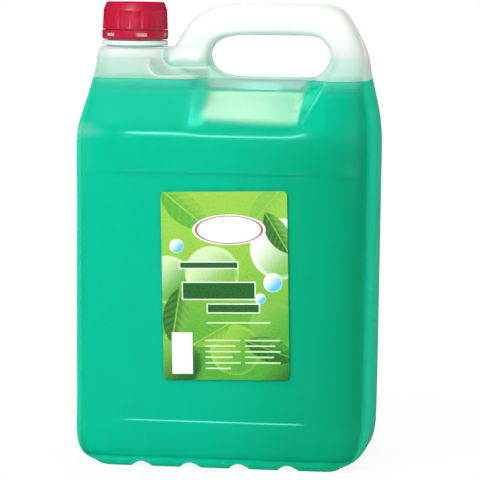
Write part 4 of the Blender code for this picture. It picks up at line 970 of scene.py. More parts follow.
def natural_polyethylene():
    """Translucent blown plastic: milky where the pack is empty, tinted by the soap where it is wetted, with
    painted highlights and shade.
    """
    made, tree, shader = new_finish("natural_polyethylene")
    place = object_place(tree)
    axes = axes_of(tree, place)
    x = axes["X"]
    z = axes["Z"]
    half_depth = reckon(tree, "ABSOLUTE", axes["Y"])
    normal, mottle = grained(tree, place, *WALL_GRAIN)
    recess = used(tree, recess_light, Place=place)
    moulded = used(tree, moulded_edge)
    facing = add(tree, "ShaderNodeLayerWeight", {"Blend": 0.5}).outputs["Facing"]
    geometry = add(tree, "ShaderNodeNewGeometry").outputs

    grazing = between(tree, facing, *GRAZING)
    clear_of_recess = highest(tree, between(tree, x, *RIDGE_RIGHT), between(tree, z, *RIDGE_HEAD))
    ridge = product(tree, moulded["Ridge"], clear_of_recess, between(tree, z, *RIDGE_FOOT))
    wet = between(tree, z, *WET)
    near_level = within(tree, (z, LEVEL_FOOT), (z, LEVEL_HEAD))
    on_neck = within(tree, (z, NECK_FOOT), (x, NECK_RIGHT))
    # Folds beside the neck: painted shade in each fold and a painted highlight along its edge
    web, web_lit = fold_masks(tree, place, WEB_LINE_START, WEB_LINE_HEIGHT, WEB_LINE_TURN,
                              (x, WEB_RIGHT), (z, WEB_HEAD), (half_depth, WEB_DEPTH))
    collar, collar_lit = fold_masks(tree, place, COLLAR_LINE_START, COLLAR_LINE_HEIGHT, COLLAR_LINE_TURN,
                                    (x, COLLAR_RIGHT), (z, COLLAR_HEAD), (half_depth, COLLAR_DEPTH))
    folds = highest(tree, web, collar)
    lit_edges = highest(tree, web_lit, collar_lit)

    # Pale mint band above the soap's level, with a wandering lower line, stronger towards the level
    ragged = reckon(tree, "MULTIPLY_ADD", mottle, MINT_RAGGEDNESS, z)
    film = reckon(tree, "ADD", between(tree, ragged, *MINT_STEP), between(tree, ragged, *MINT_RAMP))
    # Painted light: paler mint towards the shaded right leg
    mint = blended(tree, between(tree, x, *LEG_SIDE), MINT_WALL, MINT_LEG_LIT)
    flange = product(tree, on_neck, between(tree, z, *FLANGE_HEAD))
    # Painted shade in the folds and painted highlights on the ridges, over the milky wall
    dry = layered(tree, DRY_WALL, (film, mint), (moulded["Fold"], DRY_FOLD_SHADE), (moulded["Ridge"], DRY_RIDGE_HIGHLIGHT),
                  (folds, WEB_FOLD_SHADE), (lit_edges, WEB_EDGE_HIGHLIGHT), (flange, FLANGE_WALL))

    # Painted shade towards the right of the wetted body.
    shaded_right = within(tree, (x, RIGHT_SIDE), (z, RIGHT_HEAD))
    # Painted highlight along the shoulder's crest, from the left part of the front.
    crest_highlight = within(tree, (x, CREST_RIGHT), (z, CREST_FOOT), (z, CREST_HEAD))
    wetted = layered(tree, WET_WALL, (shaded_right, WET_WALL_SHADED_RIGHT), (near_level, WET_LEVEL),
                     (grazing, WET_EDGE), (between(tree, facing, *OUTERMOST), WET_RIM_REFLECTION),
                     (moulded["Fold"], WET_FOLD_SHADE), (recess["Side"], WET_SIDE_LIT),
                     (ridge, blended(tree, crest_highlight, WET_RIDGE_HIGHLIGHT, WET_CREST_HIGHLIGHT)),
                     (recess["Window"], WINDOW_WALL_LIT), (recess["Mist"], MIST_WALL_SHADED))

    # Ridges, folds and the folds' lit edges also get more cover, so that their painted light and shade show
    # more strongly
    cover = blended_value(tree, wet, between(tree, z, *MILKY), WET_COVER)
    for share, amount in ((near_level, LEVEL_COVER), (recess["Mist"], MIST_COVER), (grazing, EDGE_COVER),
                          (ridge, RIDGE_COVER), (on_neck, NECK_COVER), (folds, WEB_COVER),
                          (lit_edges, LINE_COVER), (between(tree, z, *BASE_HEAD), EDGE_COVER)):
        cover = highest(tree, cover, reckon(tree, "MULTIPLY", share, amount))
    # In the grip recess the wall's inner surface is left out, so that the soap behind it shows plainly
    inner = product(tree, geometry["Backfacing"], within(tree, (z, GRIP_FOOT), (x, GRIP_LEFT)), wet,
                    between(tree, x, *GRIP_RIGHT))
    feed(tree, shader, {
        "Base Color": blended(tree, wet, dry, wetted),
        "Specular Tint": blended(tree, wet, CLEAR_SHEEN, WET_SHEEN),
        "Alpha": product(tree, cover, reckon(tree, "SUBTRACT", 1.0, inner)),
        "Roughness": between(tree, mottle, *MOTTLE, *WALL_ROUGHNESS),
        "Specular IOR Level": blended_value(tree, recess["Mist"], WALL_SHINE, MIST_SHINE),
        "IOR": WALL_INDEX,
        "Normal": normal})
    return made


shell.data.materials.append(natural_polyethylene())
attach(shell, "filled_canister")
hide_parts("canister")

# ## Soap
# Emerald liquid hand soap, which fills the blown shell up to just below the handle. Where the grip
# recess makes it thin, the light behind shows through it and it looks pale.

soap = body_form("soap_fill", WALL + GAP)
bm = bmesh.new()
bm.from_mesh(soap.data)
cut = bmesh.ops.bisect_plane(bm, geom=bm.verts[:] + bm.edges[:] + bm.faces[:], dist=HAIR,
                             plane_co=(0.0, 0.0, FILL_LEVEL), plane_no=(0.0, 0.0, 1.0), clear_outer=True)
bmesh.ops.edgeloop_fill(bm, edges=only(bmesh.types.BMEdge, cut["geom_cut"]))
bm.to_mesh(soap.data)
bm.free()
worked(soap, ("DIFFERENCE", foot_grooves("groove_room", WALL + GAP)))
smoothed(soap, BODY_SHARP_ANGLE)

SOAP_DEEP = (0.0005, 0.540, 0.330, 1.0)
# Painted shade: the soap is darker towards its right, below the shoulder.
SOAP_DEEP_SHADED_RIGHT = (0.0005, 0.430, 0.220, 1.0)
# Painted light: the shoulder slope faces up and is lighter.
SOAP_SLOPE_LIT = (0.035, 0.660, 0.480, 1.0)
# Painted light: pale where light shows through the thin soap of the recess, less so towards the right.
SOAP_THIN_LIT = (0.560, 0.900, 0.720, 1.0)
SOAP_THIN_LIT_RIGHT = (0.300, 0.800, 0.560, 1.0)
# Painted light on the grip recess's left side, which faces away from the key light.
SOAP_SIDE_LIT = (0.080, 0.900, 0.700, 1.0)
# Painted shade: the flat top is darker than the light falling on it.
SOAP_TOP_SHADED = (0.020, 0.360, 0.250, 1.0)
# The recess's lip: pale where the soap is thin, greyed by painted shade.
SOAP_MIST_SHADED = (0.250, 0.560, 0.450, 1.0)
SOAP_EDGE = (0.100, 0.660, 0.500, 1.0)
SLOPE_FOOT = (SHOULDER_HEIGHT, SHOULDER_HEIGHT + 0.0080)
SLOPE_RIGHT = (0.020, -0.020)
THIN_RIGHT = (0.012, 0.050)
UPPERMOST = (FILL_LEVEL - 0.0030, FILL_LEVEL)
ON_TOP = (FILL_LEVEL - 0.0002, FILL_LEVEL - 0.0001)
SOAP_GRAIN = (200.0, 18.0, 0.05, 0.15, 0.0006)
SOAP_ROUGHNESS = (0.18, 0.26)
SOAP_SHINE = 0.20


def green_soap():
    """Deep green with painted light and shade: pale where light shows through thin soap, lighter on its
    slope and recess side, darker at the right, and dull and dark on its flat top, which the wall hides.
    """
    made, tree, shader = new_finish("green_soap")
    place = object_place(tree)
    axes = axes_of(tree, place)
    x = axes["X"]
    z = axes["Z"]
    normal, mottle = grained(tree, place, *SOAP_GRAIN)
    recess = used(tree, recess_light, Place=place)
    on_top = between(tree, z, *ON_TOP)
    # Painted light that shows through the thin soap, less towards the right
    thin = blended(tree, between(tree, x, *THIN_RIGHT), SOAP_THIN_LIT, SOAP_THIN_LIT_RIGHT)
    # Painted light and shade over the deep green: darker at the right and on the flat top, lighter on the
    # slope and the recess side, pale where light shows through thin soap, greyed on the recess's lip
    colour = layered(tree, SOAP_DEEP, (within(tree, (x, RIGHT_SIDE), (z, RIGHT_HEAD)), SOAP_DEEP_SHADED_RIGHT),
                     (within(tree, (z, SLOPE_FOOT), (x, SLOPE_RIGHT)), SOAP_SLOPE_LIT),
                     (between(tree, z, *UPPERMOST), SOAP_EDGE), (on_top, SOAP_TOP_SHADED),
                     (recess["Side"], SOAP_SIDE_LIT), (recess["Window"], thin), (recess["Mist"], SOAP_MIST_SHADED))
    feed(tree, shader, {
        "Base Color": colour,
        "Specular Tint": WET_SHEEN,
        "Roughness": between(tree, mottle, *MOTTLE, *SOAP_ROUGHNESS),
        "Specular IOR Level": blended_value(tree, on_top, SOAP_SHINE, 0.0),
        "Normal": normal})
    return made


soap.data.materials.append(green_soap())
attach(soap, "filled_canister")
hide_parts("liquid_soap")

# ## Screw cap
# Injection-moulded cap of red polypropylene: 18 shallow finger grooves, a tapered top and one thread
# ridge inside. It screws on the neck with a right-hand thread.

CAP_RADIUS = 0.0208
CAP_DRAFT = 0.0004
CAP_TAPER_HEIGHT = 0.0052
CAP_TAPER = 0.0018
CAP_TAPER_START = 0.0001
CAP_TOP_CHAMFER = 0.0007
CAP_TOP_LAND = 0.0035
CAP_TOP_DISH = 0.0002
CAP_TOP_DISH_EDGE = 0.0005
CAP_LIP_ROUND = 0.0004
CAP_BORE_CHAMFER = 0.0003
CAP_RIBS = 18
CAP_GROOVE_DEPTH = 0.0005
CAP_GROOVE_ANGLE = math.radians(3.2)
CAP_GROOVE_FLANK = 0.6
CAP_GROOVE_MARGIN = 0.0009
CAP_GROOVE_FOOT = 0.0006
CAP_GROOVE_HEAD = 0.0012
CAP_INNER_WALL = 0.0010
CAP_SECTOR_STEPS = 10
TRACE = 0.0001


def cap_sector():
    """One rib and groove of the cap, spun from its outline, with the groove pressed in."""
    height = CAP_TOP - CAP_BOTTOM
    groove_top = height - CAP_TAPER_HEIGHT
    side = CAP_RADIUS - CAP_DRAFT
    crown = side - CAP_TAPER
    chamfer = CAP_TOP_CHAMFER
    soft = chamfer * BEVEL_SHARE
    outline = [(0.0, CAP_SKIRT), (CAP_BORE_RADIUS, CAP_SKIRT), (CAP_BORE_RADIUS, CAP_BORE_CHAMFER),
               (CAP_BORE_RADIUS + CAP_BORE_CHAMFER, 0.0), (CAP_RADIUS - CAP_LIP_ROUND, 0.0),
               (CAP_RADIUS - TRACE, TRACE), (CAP_RADIUS, CAP_LIP_ROUND),
               (CAP_RADIUS, CAP_GROOVE_MARGIN - TRACE), (CAP_RADIUS, CAP_GROOVE_MARGIN),
               (CAP_RADIUS, CAP_GROOVE_MARGIN + CAP_GROOVE_FOOT / 2),
               (CAP_RADIUS, CAP_GROOVE_MARGIN + CAP_GROOVE_FOOT), (side, groove_top - CAP_GROOVE_HEAD),
               (side, groove_top - CAP_GROOVE_HEAD * 2 / 3), (side, groove_top - CAP_GROOVE_HEAD / 3),
               (side, groove_top), (side - CAP_TAPER_START, groove_top + CAP_LIP_ROUND),
               (crown + soft, height - chamfer - soft), (crown - soft * 0.2, height - chamfer + soft),
               (crown - chamfer / 2, height - soft * 0.6), (crown - chamfer, height),
               (crown - CAP_TOP_LAND, height),
               (crown - CAP_TOP_LAND - CAP_TOP_DISH_EDGE, height - CAP_TOP_DISH),
               (0.0, height - CAP_TOP_DISH)]
    bm = bmesh.new()
    points = [bm.verts.new((radius, 0.0, rise)) for radius, rise in outline]
    edges = [bm.edges.new(pair) for pair in zip(points, points[1:])]
    bmesh.ops.spin(bm, geom=points + edges, cent=(0.0, 0.0, 0.0), axis=(0.0, 0.0, 1.0),
                   angle=math.tau / CAP_RIBS, steps=CAP_SECTOR_STEPS)
    for vertex in bm.verts:
        radius = vertex.co.xy.length
        if radius < CAP_BORE_RADIUS + CAP_INNER_WALL:
            continue
        rise = vertex.co.z
        off = abs(math.atan2(vertex.co.y, vertex.co.x) - math.pi / CAP_RIBS)
        flank = min(1.0, max(0.0, (CAP_GROOVE_ANGLE - off) / (CAP_GROOVE_ANGLE * CAP_GROOVE_FLANK)))
        foot = min(1.0, max(0.0, (rise - CAP_GROOVE_MARGIN) / CAP_GROOVE_FOOT))
        head = min(1.0, max(0.0, (groove_top - rise) / CAP_GROOVE_HEAD))
        pressed = CAP_GROOVE_DEPTH * flank * math.sqrt(foot * head)
        vertex.co.xy *= (radius - pressed) / radius
    return bm


bm = cap_sector()
bmesh.ops.spin(bm, geom=bm.verts[:] + bm.edges[:] + bm.faces[:], cent=(0.0, 0.0, 0.0), axis=(0.0, 0.0, 1.0),
               angle=math.tau * (CAP_RIBS - 1) / CAP_RIBS, steps=CAP_RIBS - 1, use_duplicate=True)
bmesh.ops.remove_doubles(bm, verts=bm.verts, dist=WELD)
bmesh.ops.translate(bm, verts=bm.verts, vec=(NECK_X, 0.0, CAP_BOTTOM))
cap = formed("ribbed_cap", bm)
worked(cap, ("UNION", formed("cap_thread", helical_ridge(CAP_BORE_RADIUS + OVERLAP, CAP_THREAD_CREST_RADIUS,
                                                         THREAD_BOTTOM, THREAD_START + math.pi))))
smoothed(cap, CLOSURE_SHARP_ANGLE)

RED = (0.440, 0.002, 0.030, 1.0)
RED_WORN = (0.470, 0.005, 0.038, 1.0)
# Painted light: the ring's inner faces, seen through its windows, are pale as if lit
RED_WINDOW_LIGHT = (0.700, 0.430, 0.400, 1.0)
RING_FOOT_CHAMFER = 0.0009
PALE_FOOT = (RING_BOTTOM + RING_FOOT_CHAMFER + 0.0003, RING_BOTTOM + RING_FOOT_CHAMFER + 0.0005)
PALE_HEAD = (RING_TOP - 0.0001, RING_TOP - 0.0003)
WORN = (0.35, 0.75)
RED_GRAIN = (2600.0, 160.0, 0.35, 0.35, 0.0001)
RED_ROUGHNESS = (0.30, 0.42)
RED_SHINE = 0.36


def red_polypropylene(name, pale_within=0.0):
    """Satin red plastic, with painted light that makes it pale on the ring where it lies closer to the
    neck's axis than the given radius.
    """
    made, tree, shader = new_finish(name)
    place = object_place(tree)
    axes = axes_of(tree, place)
    from_neck = reckon(tree, "SUBTRACT", axes["X"], NECK_X)
    radius = reckon(tree, "SQRT", reckon(tree, "ADD", reckon(tree, "MULTIPLY", from_neck, from_neck),
                                         reckon(tree, "MULTIPLY", axes["Y"], axes["Y"])))
    pale = within(tree, (axes["Z"], PALE_FOOT), (axes["Z"], PALE_HEAD),
                  (radius, (pale_within + TRACE, pale_within - TRACE)))
    normal, mottle = grained(tree, place, *RED_GRAIN)
    feed(tree, shader, {
        "Base Color": layered(tree, RED, (between(tree, mottle, *WORN), RED_WORN), (pale, RED_WINDOW_LIGHT)),
        "Roughness": between(tree, mottle, *MOTTLE, *RED_ROUGHNESS),
        "Specular IOR Level": RED_SHINE,
        "Normal": normal})
    return made


cap.data.materials.append(red_polypropylene("red_polypropylene"))
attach(cap, "cap")
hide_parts("screw_cap")

# ## Tamper ring
# Ring of the same red polypropylene below the cap, held on the neck by its lock bead. Six windows and
# the stubs of its bridges are moulded in it.

RING_RADIUS = 0.0211
RING_LIP_SLOPE = 0.0006
RING_EDGE_ROUND = 0.0002
RING_WINDOWS = 6
RING_WINDOW_WIDTH = 0.0071
RING_WINDOW_HEIGHT = 0.0021
RING_WINDOW_TURN = math.radians(21.0)
BRIDGES = 12
BRIDGE_WIDTH = 0.0011
BRIDGE_SHARE = 0.4
RING_THICKNESS = RING_RADIUS - RING_BORE_RADIUS


def ring_outline():
    lip_radius = NECK_RADIUS + RUNNING_GAP
    lip_top = RING_HEIGHT * LOCK_BEAD_SHARE - RUNNING_GAP
    soft = RING_EDGE_ROUND
    levels = [(lip_radius, 0.0), (RING_RADIUS - RING_FOOT_CHAMFER - soft, 0.0),
              (RING_RADIUS - RING_FOOT_CHAMFER + soft, soft), (RING_RADIUS - soft, RING_FOOT_CHAMFER - soft),
              (RING_RADIUS, RING_FOOT_CHAMFER + soft), (RING_RADIUS, RING_HEIGHT - soft),
              (RING_RADIUS - soft, RING_HEIGHT), (RING_BORE_RADIUS, RING_HEIGHT),
              (RING_BORE_RADIUS, lip_top - RING_LIP_SLOPE), (lip_radius, lip_top)]
    return [(radius, RING_BOTTOM + rise) for radius, rise in levels]


def around_ring(count, start, middle_radius, rise, size):
    """Boxes of one size set evenly round the ring."""
    bm = bmesh.new()
    for number in range(count):
        turn = Matrix.Rotation(start + math.tau * number / count, 4, "Z")
        place = Matrix.Translation((NECK_X, 0.0, RING_BOTTOM)) @ turn
        place = place @ Matrix.Translation((middle_radius, 0.0, rise)) @ Matrix.Diagonal((*size, 1.0))
        bmesh.ops.create_cube(bm, size=1.0, matrix=place)
    return bm


ring = formed("tamper_band", turned(ring_outline()))
windows = around_ring(RING_WINDOWS, RING_WINDOW_TURN - math.pi / 2, RING_RADIUS,
                      RING_HEIGHT * LOCK_BEAD_SHARE,
                      (RING_THICKNESS * 2, RING_WINDOW_WIDTH, RING_WINDOW_HEIGHT))
nub_height = RING_SLIT - GAP + OVERLAP
nubs = around_ring(BRIDGES, math.pi / BRIDGES, RING_RADIUS - RING_THICKNESS / 2,
                   RING_HEIGHT + nub_height / 2 - OVERLAP,
                   (RING_THICKNESS * BRIDGE_SHARE, BRIDGE_WIDTH, nub_height))
worked(ring, ("DIFFERENCE", formed("window_forms", windows)), ("UNION", formed("bridge_forms", nubs)))
smoothed(ring, CLOSURE_SHARP_ANGLE)
ring.data.materials.append(red_polypropylene("red_ring_polypropylene", RING_RADIUS - RING_EDGE_ROUND))
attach(ring, "filled_canister")
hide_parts("tamper_ring")

# ## Sealing wad
# Disc of white foamed polyethylene, punched from sheet. It lies loose in the top of the cap and is
# pressed on the neck's rim to seal it; only its fine cells are added here.

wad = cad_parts["cap_liner"]
FOAM_SKIN = (0.90, 0.90, 0.88, 1.0)
FOAM_HOLLOW = (0.80, 0.80, 0.78, 1.0)
FOAM_CELL_SCALE = 2200.0
FOAM_ROUGHNESS = (0.60, 0.75)


def foam():
    """White foam with a skin of fine closed cells."""
    made, tree, shader = new_finish("white_foam")
    found = add(tree, "ShaderNodeTexVoronoi", {"Vector": object_place(tree), "Scale": FOAM_CELL_SCALE})
    cells = found.outputs["Distance"]
    feed(tree, shader, {
        "Base Color": blended(tree, cells, FOAM_HOLLOW, FOAM_SKIN),
        "Roughness": between(tree, cells, 0.0, 1.0, *FOAM_ROUGHNESS),
        "Normal": bumped(tree, cells, 0.4, 0.0002)})
    return made


wad.data.materials.clear()
wad.data.materials.append(foam())

# ## Front label
# Printed film label with rounded corners, stuck slightly askew on the front panel. Its print is a plain
# pattern of leaves and bubbles on lime green, with an empty plaque and bars where words would stand.

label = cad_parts["front_label"]
LABEL_MIDDLE = (0.0066, 0.0, 0.1159)
LABEL_TURN = math.radians(1.5)
LIME = (0.270, 0.540, 0.055, 1.0)
APPLE = (0.190, 0.480, 0.060, 1.0)
GRASS = (0.080, 0.380, 0.035, 1.0)
PINE = (0.016, 0.130, 0.020, 1.0)
CREAM = (0.580, 0.760, 0.420, 1.0)
WHITE = (0.820, 0.850, 0.800, 1.0)
SKY = (0.080, 0.480, 0.760, 1.0)
BERRY = (0.420, 0.020, 0.060, 1.0)


# Shares and fades of the printed marks
LEAF_ARC = 0.886
LEAF_EDGE = (1.350, 1.325)
LEAF_RIB = (0.040, 0.015)
LEAF_HALVES = (-0.06, 0.30, 0.15, 0.75)
VEIN_LEAN = -0.8
VEIN_RATE = 24.0
VEIN_SHADE = 0.10
BUBBLE_EDGE = (1.02, 0.97)
BUBBLE_RIM = (0.80, 0.98, 0.0, 0.45)
BUBBLE_SHINE = (-1.0, 1.2)
BAR_PALE_EDGE = 0.0007
OVAL_EDGE = (1.02, 0.98)
OVAL_LINE_WITHIN = (0.74, 0.78)
OVAL_LINE_WITHOUT = (0.88, 0.84)
GROUND = (-0.030, 0.050)
GROUND_DRIFT = 0.030
FILM_ROUGHNESS = (0.26, 0.34)


def mark_group(name, sizes, outputs, shape):
    """Node group that turns a place on the label into the masks of one printed mark."""
    group, given = new_group(name, outputs, sizes, ("Place", "Centre"))
    away = add(group, "ShaderNodeVectorMath", {0: given["Place"], 1: given["Centre"]}, operation="SUBTRACT")
    return handed_out(group, dict(zip(outputs, shape(group, given, away.outputs["Vector"]))))


def leaf_shape(group, given, away):
    """Pointed leaf between two arcs, with a light half, a dark half and side veins."""
    turned_to = add(group, "ShaderNodeVectorRotate", {"Vector": away, "Angle": given["Turn"]},
                    rotation_type="Z_AXIS").outputs["Vector"]
    axes = axes_of(group, turned_to)
    along = reckon(group, "DIVIDE", axes["X"], given["Half Length"])
    across = reckon(group, "DIVIDE", axes["Y"], given["Half Length"])
    off_rib = reckon(group, "ABSOLUTE", across)
    far = reckon(group, "ADD", off_rib, LEAF_ARC)
    reach = reckon(group, "MULTIPLY_ADD", far, far, reckon(group, "MULTIPLY", along, along))
    reach = reckon(group, "SQRT", reach)
    vein_line = reckon(group, "MULTIPLY_ADD", off_rib, VEIN_LEAN, along)
    vein = reckon(group, "SINE", reckon(group, "MULTIPLY", vein_line, VEIN_RATE))
    half = between(group, across, *LEAF_HALVES)
    shade = reckon(group, "MULTIPLY_ADD", vein, VEIN_SHADE, half)
    return between(group, reach, *LEAF_EDGE), reckon(group, "ADD", shade, between(group, off_rib, *LEAF_RIB))


def bubble_shape(group, given, away):
    """Round bubble, lighter towards the upper left and at its rim."""
    length = add(group, "ShaderNodeVectorMath", {0: away}, operation="LENGTH").outputs["Value"]
    share = reckon(group, "DIVIDE", length, given["Radius"])
    axes = axes_of(group, away)
    lean = reckon(group, "DIVIDE", reckon(group, "SUBTRACT", axes["Y"], axes["X"]), given["Radius"])
    shine = reckon(group, "ADD", between(group, lean, *BUBBLE_SHINE), between(group, share, *BUBBLE_RIM))
    return between(group, share, *BUBBLE_EDGE), shine


def bar_shape(group, given, away):
    """Plain bar, with a mask a little larger for its pale edge."""
    axes = axes_of(group, away)
    over = [reckon(group, "SUBTRACT", reckon(group, "ABSOLUTE", axes[axis]), given[size])
            for axis, size in (("X", "Half Width"), ("Y", "Half Height"))]
    return [within(group, *((side, (margin + TRACE, margin - TRACE)) for side in over))
            for margin in (0.0, BAR_PALE_EDGE)]


def oval_shape(group, given, away):
    """Oval plaque and the line around it."""
    axes = axes_of(group, away)
    along = reckon(group, "DIVIDE", axes["X"], given["Half Width"])
    upward = reckon(group, "DIVIDE", axes["Y"], given["Half Height"])
    reach = reckon(group, "MULTIPLY_ADD", along, along, reckon(group, "MULTIPLY", upward, upward))
    line = within(group, (reach, OVAL_LINE_WITHIN), (reach, OVAL_LINE_WITHOUT))
    return between(group, reach, *OVAL_EDGE), line


leaf_mark = mark_group("leaf_mark", ("Turn", "Half Length"), ("Leaf", "Blade"), leaf_shape)
bubble_mark = mark_group("bubble_mark", ("Radius",), ("Bubble", "Shine"), bubble_shape)
bar_mark = mark_group("bar_mark", ("Half Width", "Half Height"), ("Bar", "Edge"), bar_shape)
oval_mark = mark_group("oval_mark", ("Half Width", "Half Height"), ("Plaque", "Line"), oval_shape)

# Bubbles as x, height, radius and two colours, leaves as x, height, turn, half length and two colours,
# and bars as x, height, half width and half height
BUBBLES = [(0.0300, -0.0250, 0.0150, GRASS, APPLE), (-0.0330, -0.0480, 0.0190, PINE, APPLE),
           (0.0060, -0.0400, 0.0160, GRASS, LIME), (0.0340, -0.0540, 0.0140, PINE, GRASS),
           (-0.0360, 0.0040, 0.0150, GRASS, CREAM), (0.0350, 0.0230, 0.0190, APPLE, WHITE),
           (-0.0080, 0.0080, 0.0170, APPLE, CREAM), (0.0300, 0.0020, 0.0060, SKY, WHITE),
           (0.0220, -0.0080, 0.0035, SKY, WHITE), (-0.0300, 0.0250, 0.0045, SKY, WHITE)]
LEAVES = [(-0.0250, 0.0480, 40.0, 0.0200, GRASS, LIME), (0.0270, 0.0500, 130.0, 0.0170, APPLE, LIME),
          (0.0330, 0.0330, 60.0, 0.0150, PINE, APPLE), (-0.0310, -0.0180, 100.0, 0.0180, PINE, APPLE),
          (0.0280, -0.0400, 20.0, 0.0170, PINE, GRASS), (-0.0090, -0.0300, 150.0, 0.0140, GRASS, LIME)]
WORD_BARS = [(-0.0040, -0.0030, 0.0225, 0.0050), (0.0050, -0.0140, 0.0160, 0.0024),
             (-0.0100, 0.0130, 0.0180, 0.0017)]
PLAQUE = (0.0030, 0.0350, 0.0230, 0.0095)
BLANK = (-0.0275, -0.0420, 0.0065, 0.0130)
LINE_HALF_HEIGHT = 0.0005
LINE_BARS = [(0.0080, -0.0230, 0.0200), (-0.0020, -0.0340, 0.0110), (-0.0035, -0.0375, 0.0095),
             (-0.0020, -0.0410, 0.0110), (-0.0045, -0.0445, 0.0085), (0.0230, -0.0340, 0.0110),
             (0.0215, -0.0375, 0.0095), (0.0230, -0.0410, 0.0110), (0.0210, -0.0445, 0.0090),
             (0.0230, -0.0480, 0.0110), (-0.0020, -0.0480, 0.0110), (-0.0050, -0.0515, 0.0080)]


def label_film():
    """Printed film: the marks are laid over each other from the ground up."""
    made, tree, shader = new_finish("label_film")
    from_middle = add(tree, "ShaderNodeVectorMath", {0: object_place(tree), 1: LABEL_MIDDLE},
                      operation="SUBTRACT").outputs["Vector"]
    level = add(tree, "ShaderNodeVectorRotate", {"Vector": from_middle, "Angle": LABEL_TURN},
                rotation_type="Y_AXIS").outputs["Vector"]
    axes = axes_of(tree, level)
    sheet = add(tree, "ShaderNodeCombineXYZ", {"X": axes["X"], "Y": axes["Z"]}).outputs["Vector"]
    ground = reckon(tree, "MULTIPLY_ADD", noise(tree, sheet, 45.0, 2.0), GROUND_DRIFT, axes["Z"])
    colour = blended(tree, between(tree, ground, *GROUND), GRASS, LIME)

    def printed(group, x, height, **sizes):
        return used(tree, group, Place=sheet, Centre=(x, height, 0.0), **sizes)

    for x, height, radius, dark, light in BUBBLES:
        mark = printed(bubble_mark, x, height, Radius=radius)
        colour = blended(tree, mark["Bubble"], colour, blended(tree, mark["Shine"], dark, light))
    for x, height, turn, length, dark, light in LEAVES:
        mark = printed(leaf_mark, x, height, Turn=math.radians(turn), Half_Length=length)
        colour = blended(tree, mark["Leaf"], colour, blended(tree, mark["Blade"], dark, light))
    x, height, half_width, half_height = PLAQUE
    mark = printed(oval_mark, x, height, Half_Width=half_width, Half_Height=half_height)
    colour = layered(tree, colour, (mark["Plaque"], WHITE), (mark["Line"], BERRY))
    for x, height, half_width, half_height in WORD_BARS:
        mark = printed(bar_mark, x, height, Half_Width=half_width, Half_Height=half_height)
        colour = layered(tree, colour, (mark["Edge"], WHITE), (mark["Bar"], PINE))
    for x, height, half_width in LINE_BARS:
        mark = printed(bar_mark, x, height, Half_Width=half_width, Half_Height=LINE_HALF_HEIGHT)
        colour = blended(tree, mark["Bar"], colour, CREAM)
    x, height, half_width, half_height = BLANK
    mark = printed(bar_mark, x, height, Half_Width=half_width, Half_Height=half_height)
    colour = blended(tree, mark["Bar"], colour, WHITE)
    grain = noise(tree, sheet, 900.0, 2.0)
    feed(tree, shader, {"Base Color": colour, "Normal": bumped(tree, grain, 0.10, 0.0001),
                        "Roughness": between(tree, grain, *MOTTLE, *FILM_ROUGHNESS)})
    return made


label.data.materials.clear()
label.data.materials.append(label_film())

# ## Stage
# Pale paper floor that runs up into a backdrop, with soft lights at the front left, the right and the
# back. The camera looks from a little to the right of the front and from a little above.

AIM = Vector((0.0065, 0.0, 0.1386))
CAMERA_TURN = math.radians(8.2)
CAMERA_FALL = math.radians(5.5)
CAMERA_ROLL = math.radians(0.6)
CAMERA_DISTANCE = 1.840
CAMERA_LENS = 215.25
SWEEP_REACH = 4.0
SWEEP_PROFILE = ((1.6, 0.0), (2.0, 0.05), (2.3, 0.2), (2.5, 0.5), (2.55, 1.0), (2.55, 4.0))
PAPER_WHITE = (0.18, 0.60, 0.90, 1.0)


def sweep():
    """Floor and backdrop in one curved sheet."""
    bm = bmesh.new()
    front = [bm.verts.new((side * SWEEP_REACH, -SWEEP_REACH, 0.0)) for side in (-1, 1)]
    line = [bm.edges.new(front)]
    for along, rise in SWEEP_PROFILE:
        made = bmesh.ops.extrude_edge_only(bm, edges=line)["geom"]
        line = [edge for edge in only(bmesh.types.BMEdge, made) if all(v in made for v in edge.verts)]
        for vertex in only(bmesh.types.BMVert, made):
            vertex.co.y = along
            vertex.co.z = rise
    bmesh.ops.recalc_face_normals(bm, faces=bm.faces)
    return bm


backdrop = formed("studio_sweep", sweep())
backdrop.data.shade_smooth()


def paper():
    """Matt paper that looks burnt out to white, a little shaded close to the canister."""
    made, tree, shader = new_finish("studio_paper")
    feed(tree, shader, {"Base Color": (0.86, 0.86, 0.86, 1.0), "Roughness": 0.9})
    path = add(tree, "ShaderNodeLightPath").outputs
    seen = highest(tree, path["Is Camera Ray"], path["Is Transmission Ray"])
    away = add(tree, "ShaderNodeVectorMath", {0: object_place(tree)}, operation="LENGTH").outputs["Value"]
    share = product(tree, seen, between(tree, away, *PAPER_WHITE))
    strength = between(tree, path["Is Glossy Ray"], 0.0, 1.0, 1.0, 0.03)
    white = add(tree, "ShaderNodeEmission", {"Color": (1.0, 1.0, 1.0, 1.0), "Strength": strength})
    mixed = add(tree, "ShaderNodeMixShader", {0: highest(tree, share, path["Is Glossy Ray"]),
                                              1: shader.outputs["BSDF"], 2: white.outputs["Emission"]})
    tree.links.new(mixed.outputs["Shader"], tree.nodes["Material Output"].inputs["Surface"])
    return made


backdrop.data.materials.append(paper())


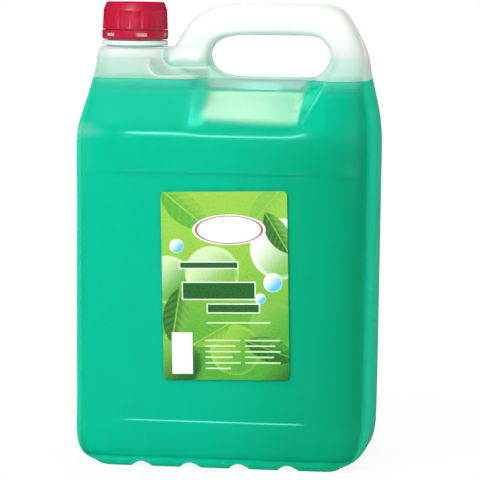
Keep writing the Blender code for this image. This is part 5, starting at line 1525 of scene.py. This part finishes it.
def softbox(name, place, target, width, height, power, colour=(1.0, 1.0, 1.0), mirrored=False):
    """Rectangular light aimed at a point. A mirrored one shows only as a highlight, the others never do."""
    light = bpy.data.lights.new(name, "AREA")
    light.shape = "RECTANGLE"
    light.size = width
    light.size_y = height
    light.energy = power
    light.color = colour
    lamp = bpy.data.objects.new(name, light)
    lamp.location = place
    lamp.rotation_euler = (Vector(target) - Vector(place)).to_track_quat("-Z", "Y").to_euler()
    lamp.visible_glossy = mirrored
    lamp.visible_diffuse = not mirrored
    bpy.context.scene.collection.objects.link(lamp)


softbox("key", (-0.50, -0.88, 0.72), (0.0, 0.0, 0.14), 0.50, 0.50, 8.4, (0.97, 1.0, 1.05))
softbox("strip", (-0.25, -1.30, 0.90), (0.0, 0.0, 0.20), 0.50, 0.14, 16.0, mirrored=True)
softbox("fill", (1.40, -0.85, 0.50), (0.0, 0.0, 0.14), 0.90, 1.20, 3.4, (1.0, 1.0, 0.80))
softbox("back", (0.10, 1.10, 0.95), (0.0, 0.0, 0.16), 1.20, 0.80, 11.0)

world = bpy.data.worlds.new("studio_air")
bpy.context.scene.world = world
world.use_nodes = True
sky = world.node_tree.nodes["Background"]
sky.inputs["Color"].default_value = (1.0, 1.0, 0.92, 1.0)
sky.inputs["Strength"].default_value = 0.72
world.cycles_visibility.glossy = False

forward = Vector((-math.sin(CAMERA_TURN) * math.cos(CAMERA_FALL),
                  math.cos(CAMERA_TURN) * math.cos(CAMERA_FALL), -math.sin(CAMERA_FALL)))
right = forward.cross(Vector((0.0, 0.0, 1.0))).normalized()
up = right.cross(forward)
across = right * math.cos(CAMERA_ROLL) + up * math.sin(CAMERA_ROLL)
upward = up * math.cos(CAMERA_ROLL) - right * math.sin(CAMERA_ROLL)
lens = bpy.data.cameras.new("studio_camera")
lens.lens = CAMERA_LENS
lens.sensor_width = 36.0
lens.clip_start = 0.05
camera = bpy.data.objects.new("studio_camera", lens)
camera.matrix_world = Matrix.Translation(AIM - forward * CAMERA_DISTANCE) @ Matrix(
    (across, upward, -forward)).transposed().to_4x4()
bpy.context.scene.collection.objects.link(camera)
bpy.context.scene.camera = camera
bpy.context.scene.view_settings.view_transform = "Standard"
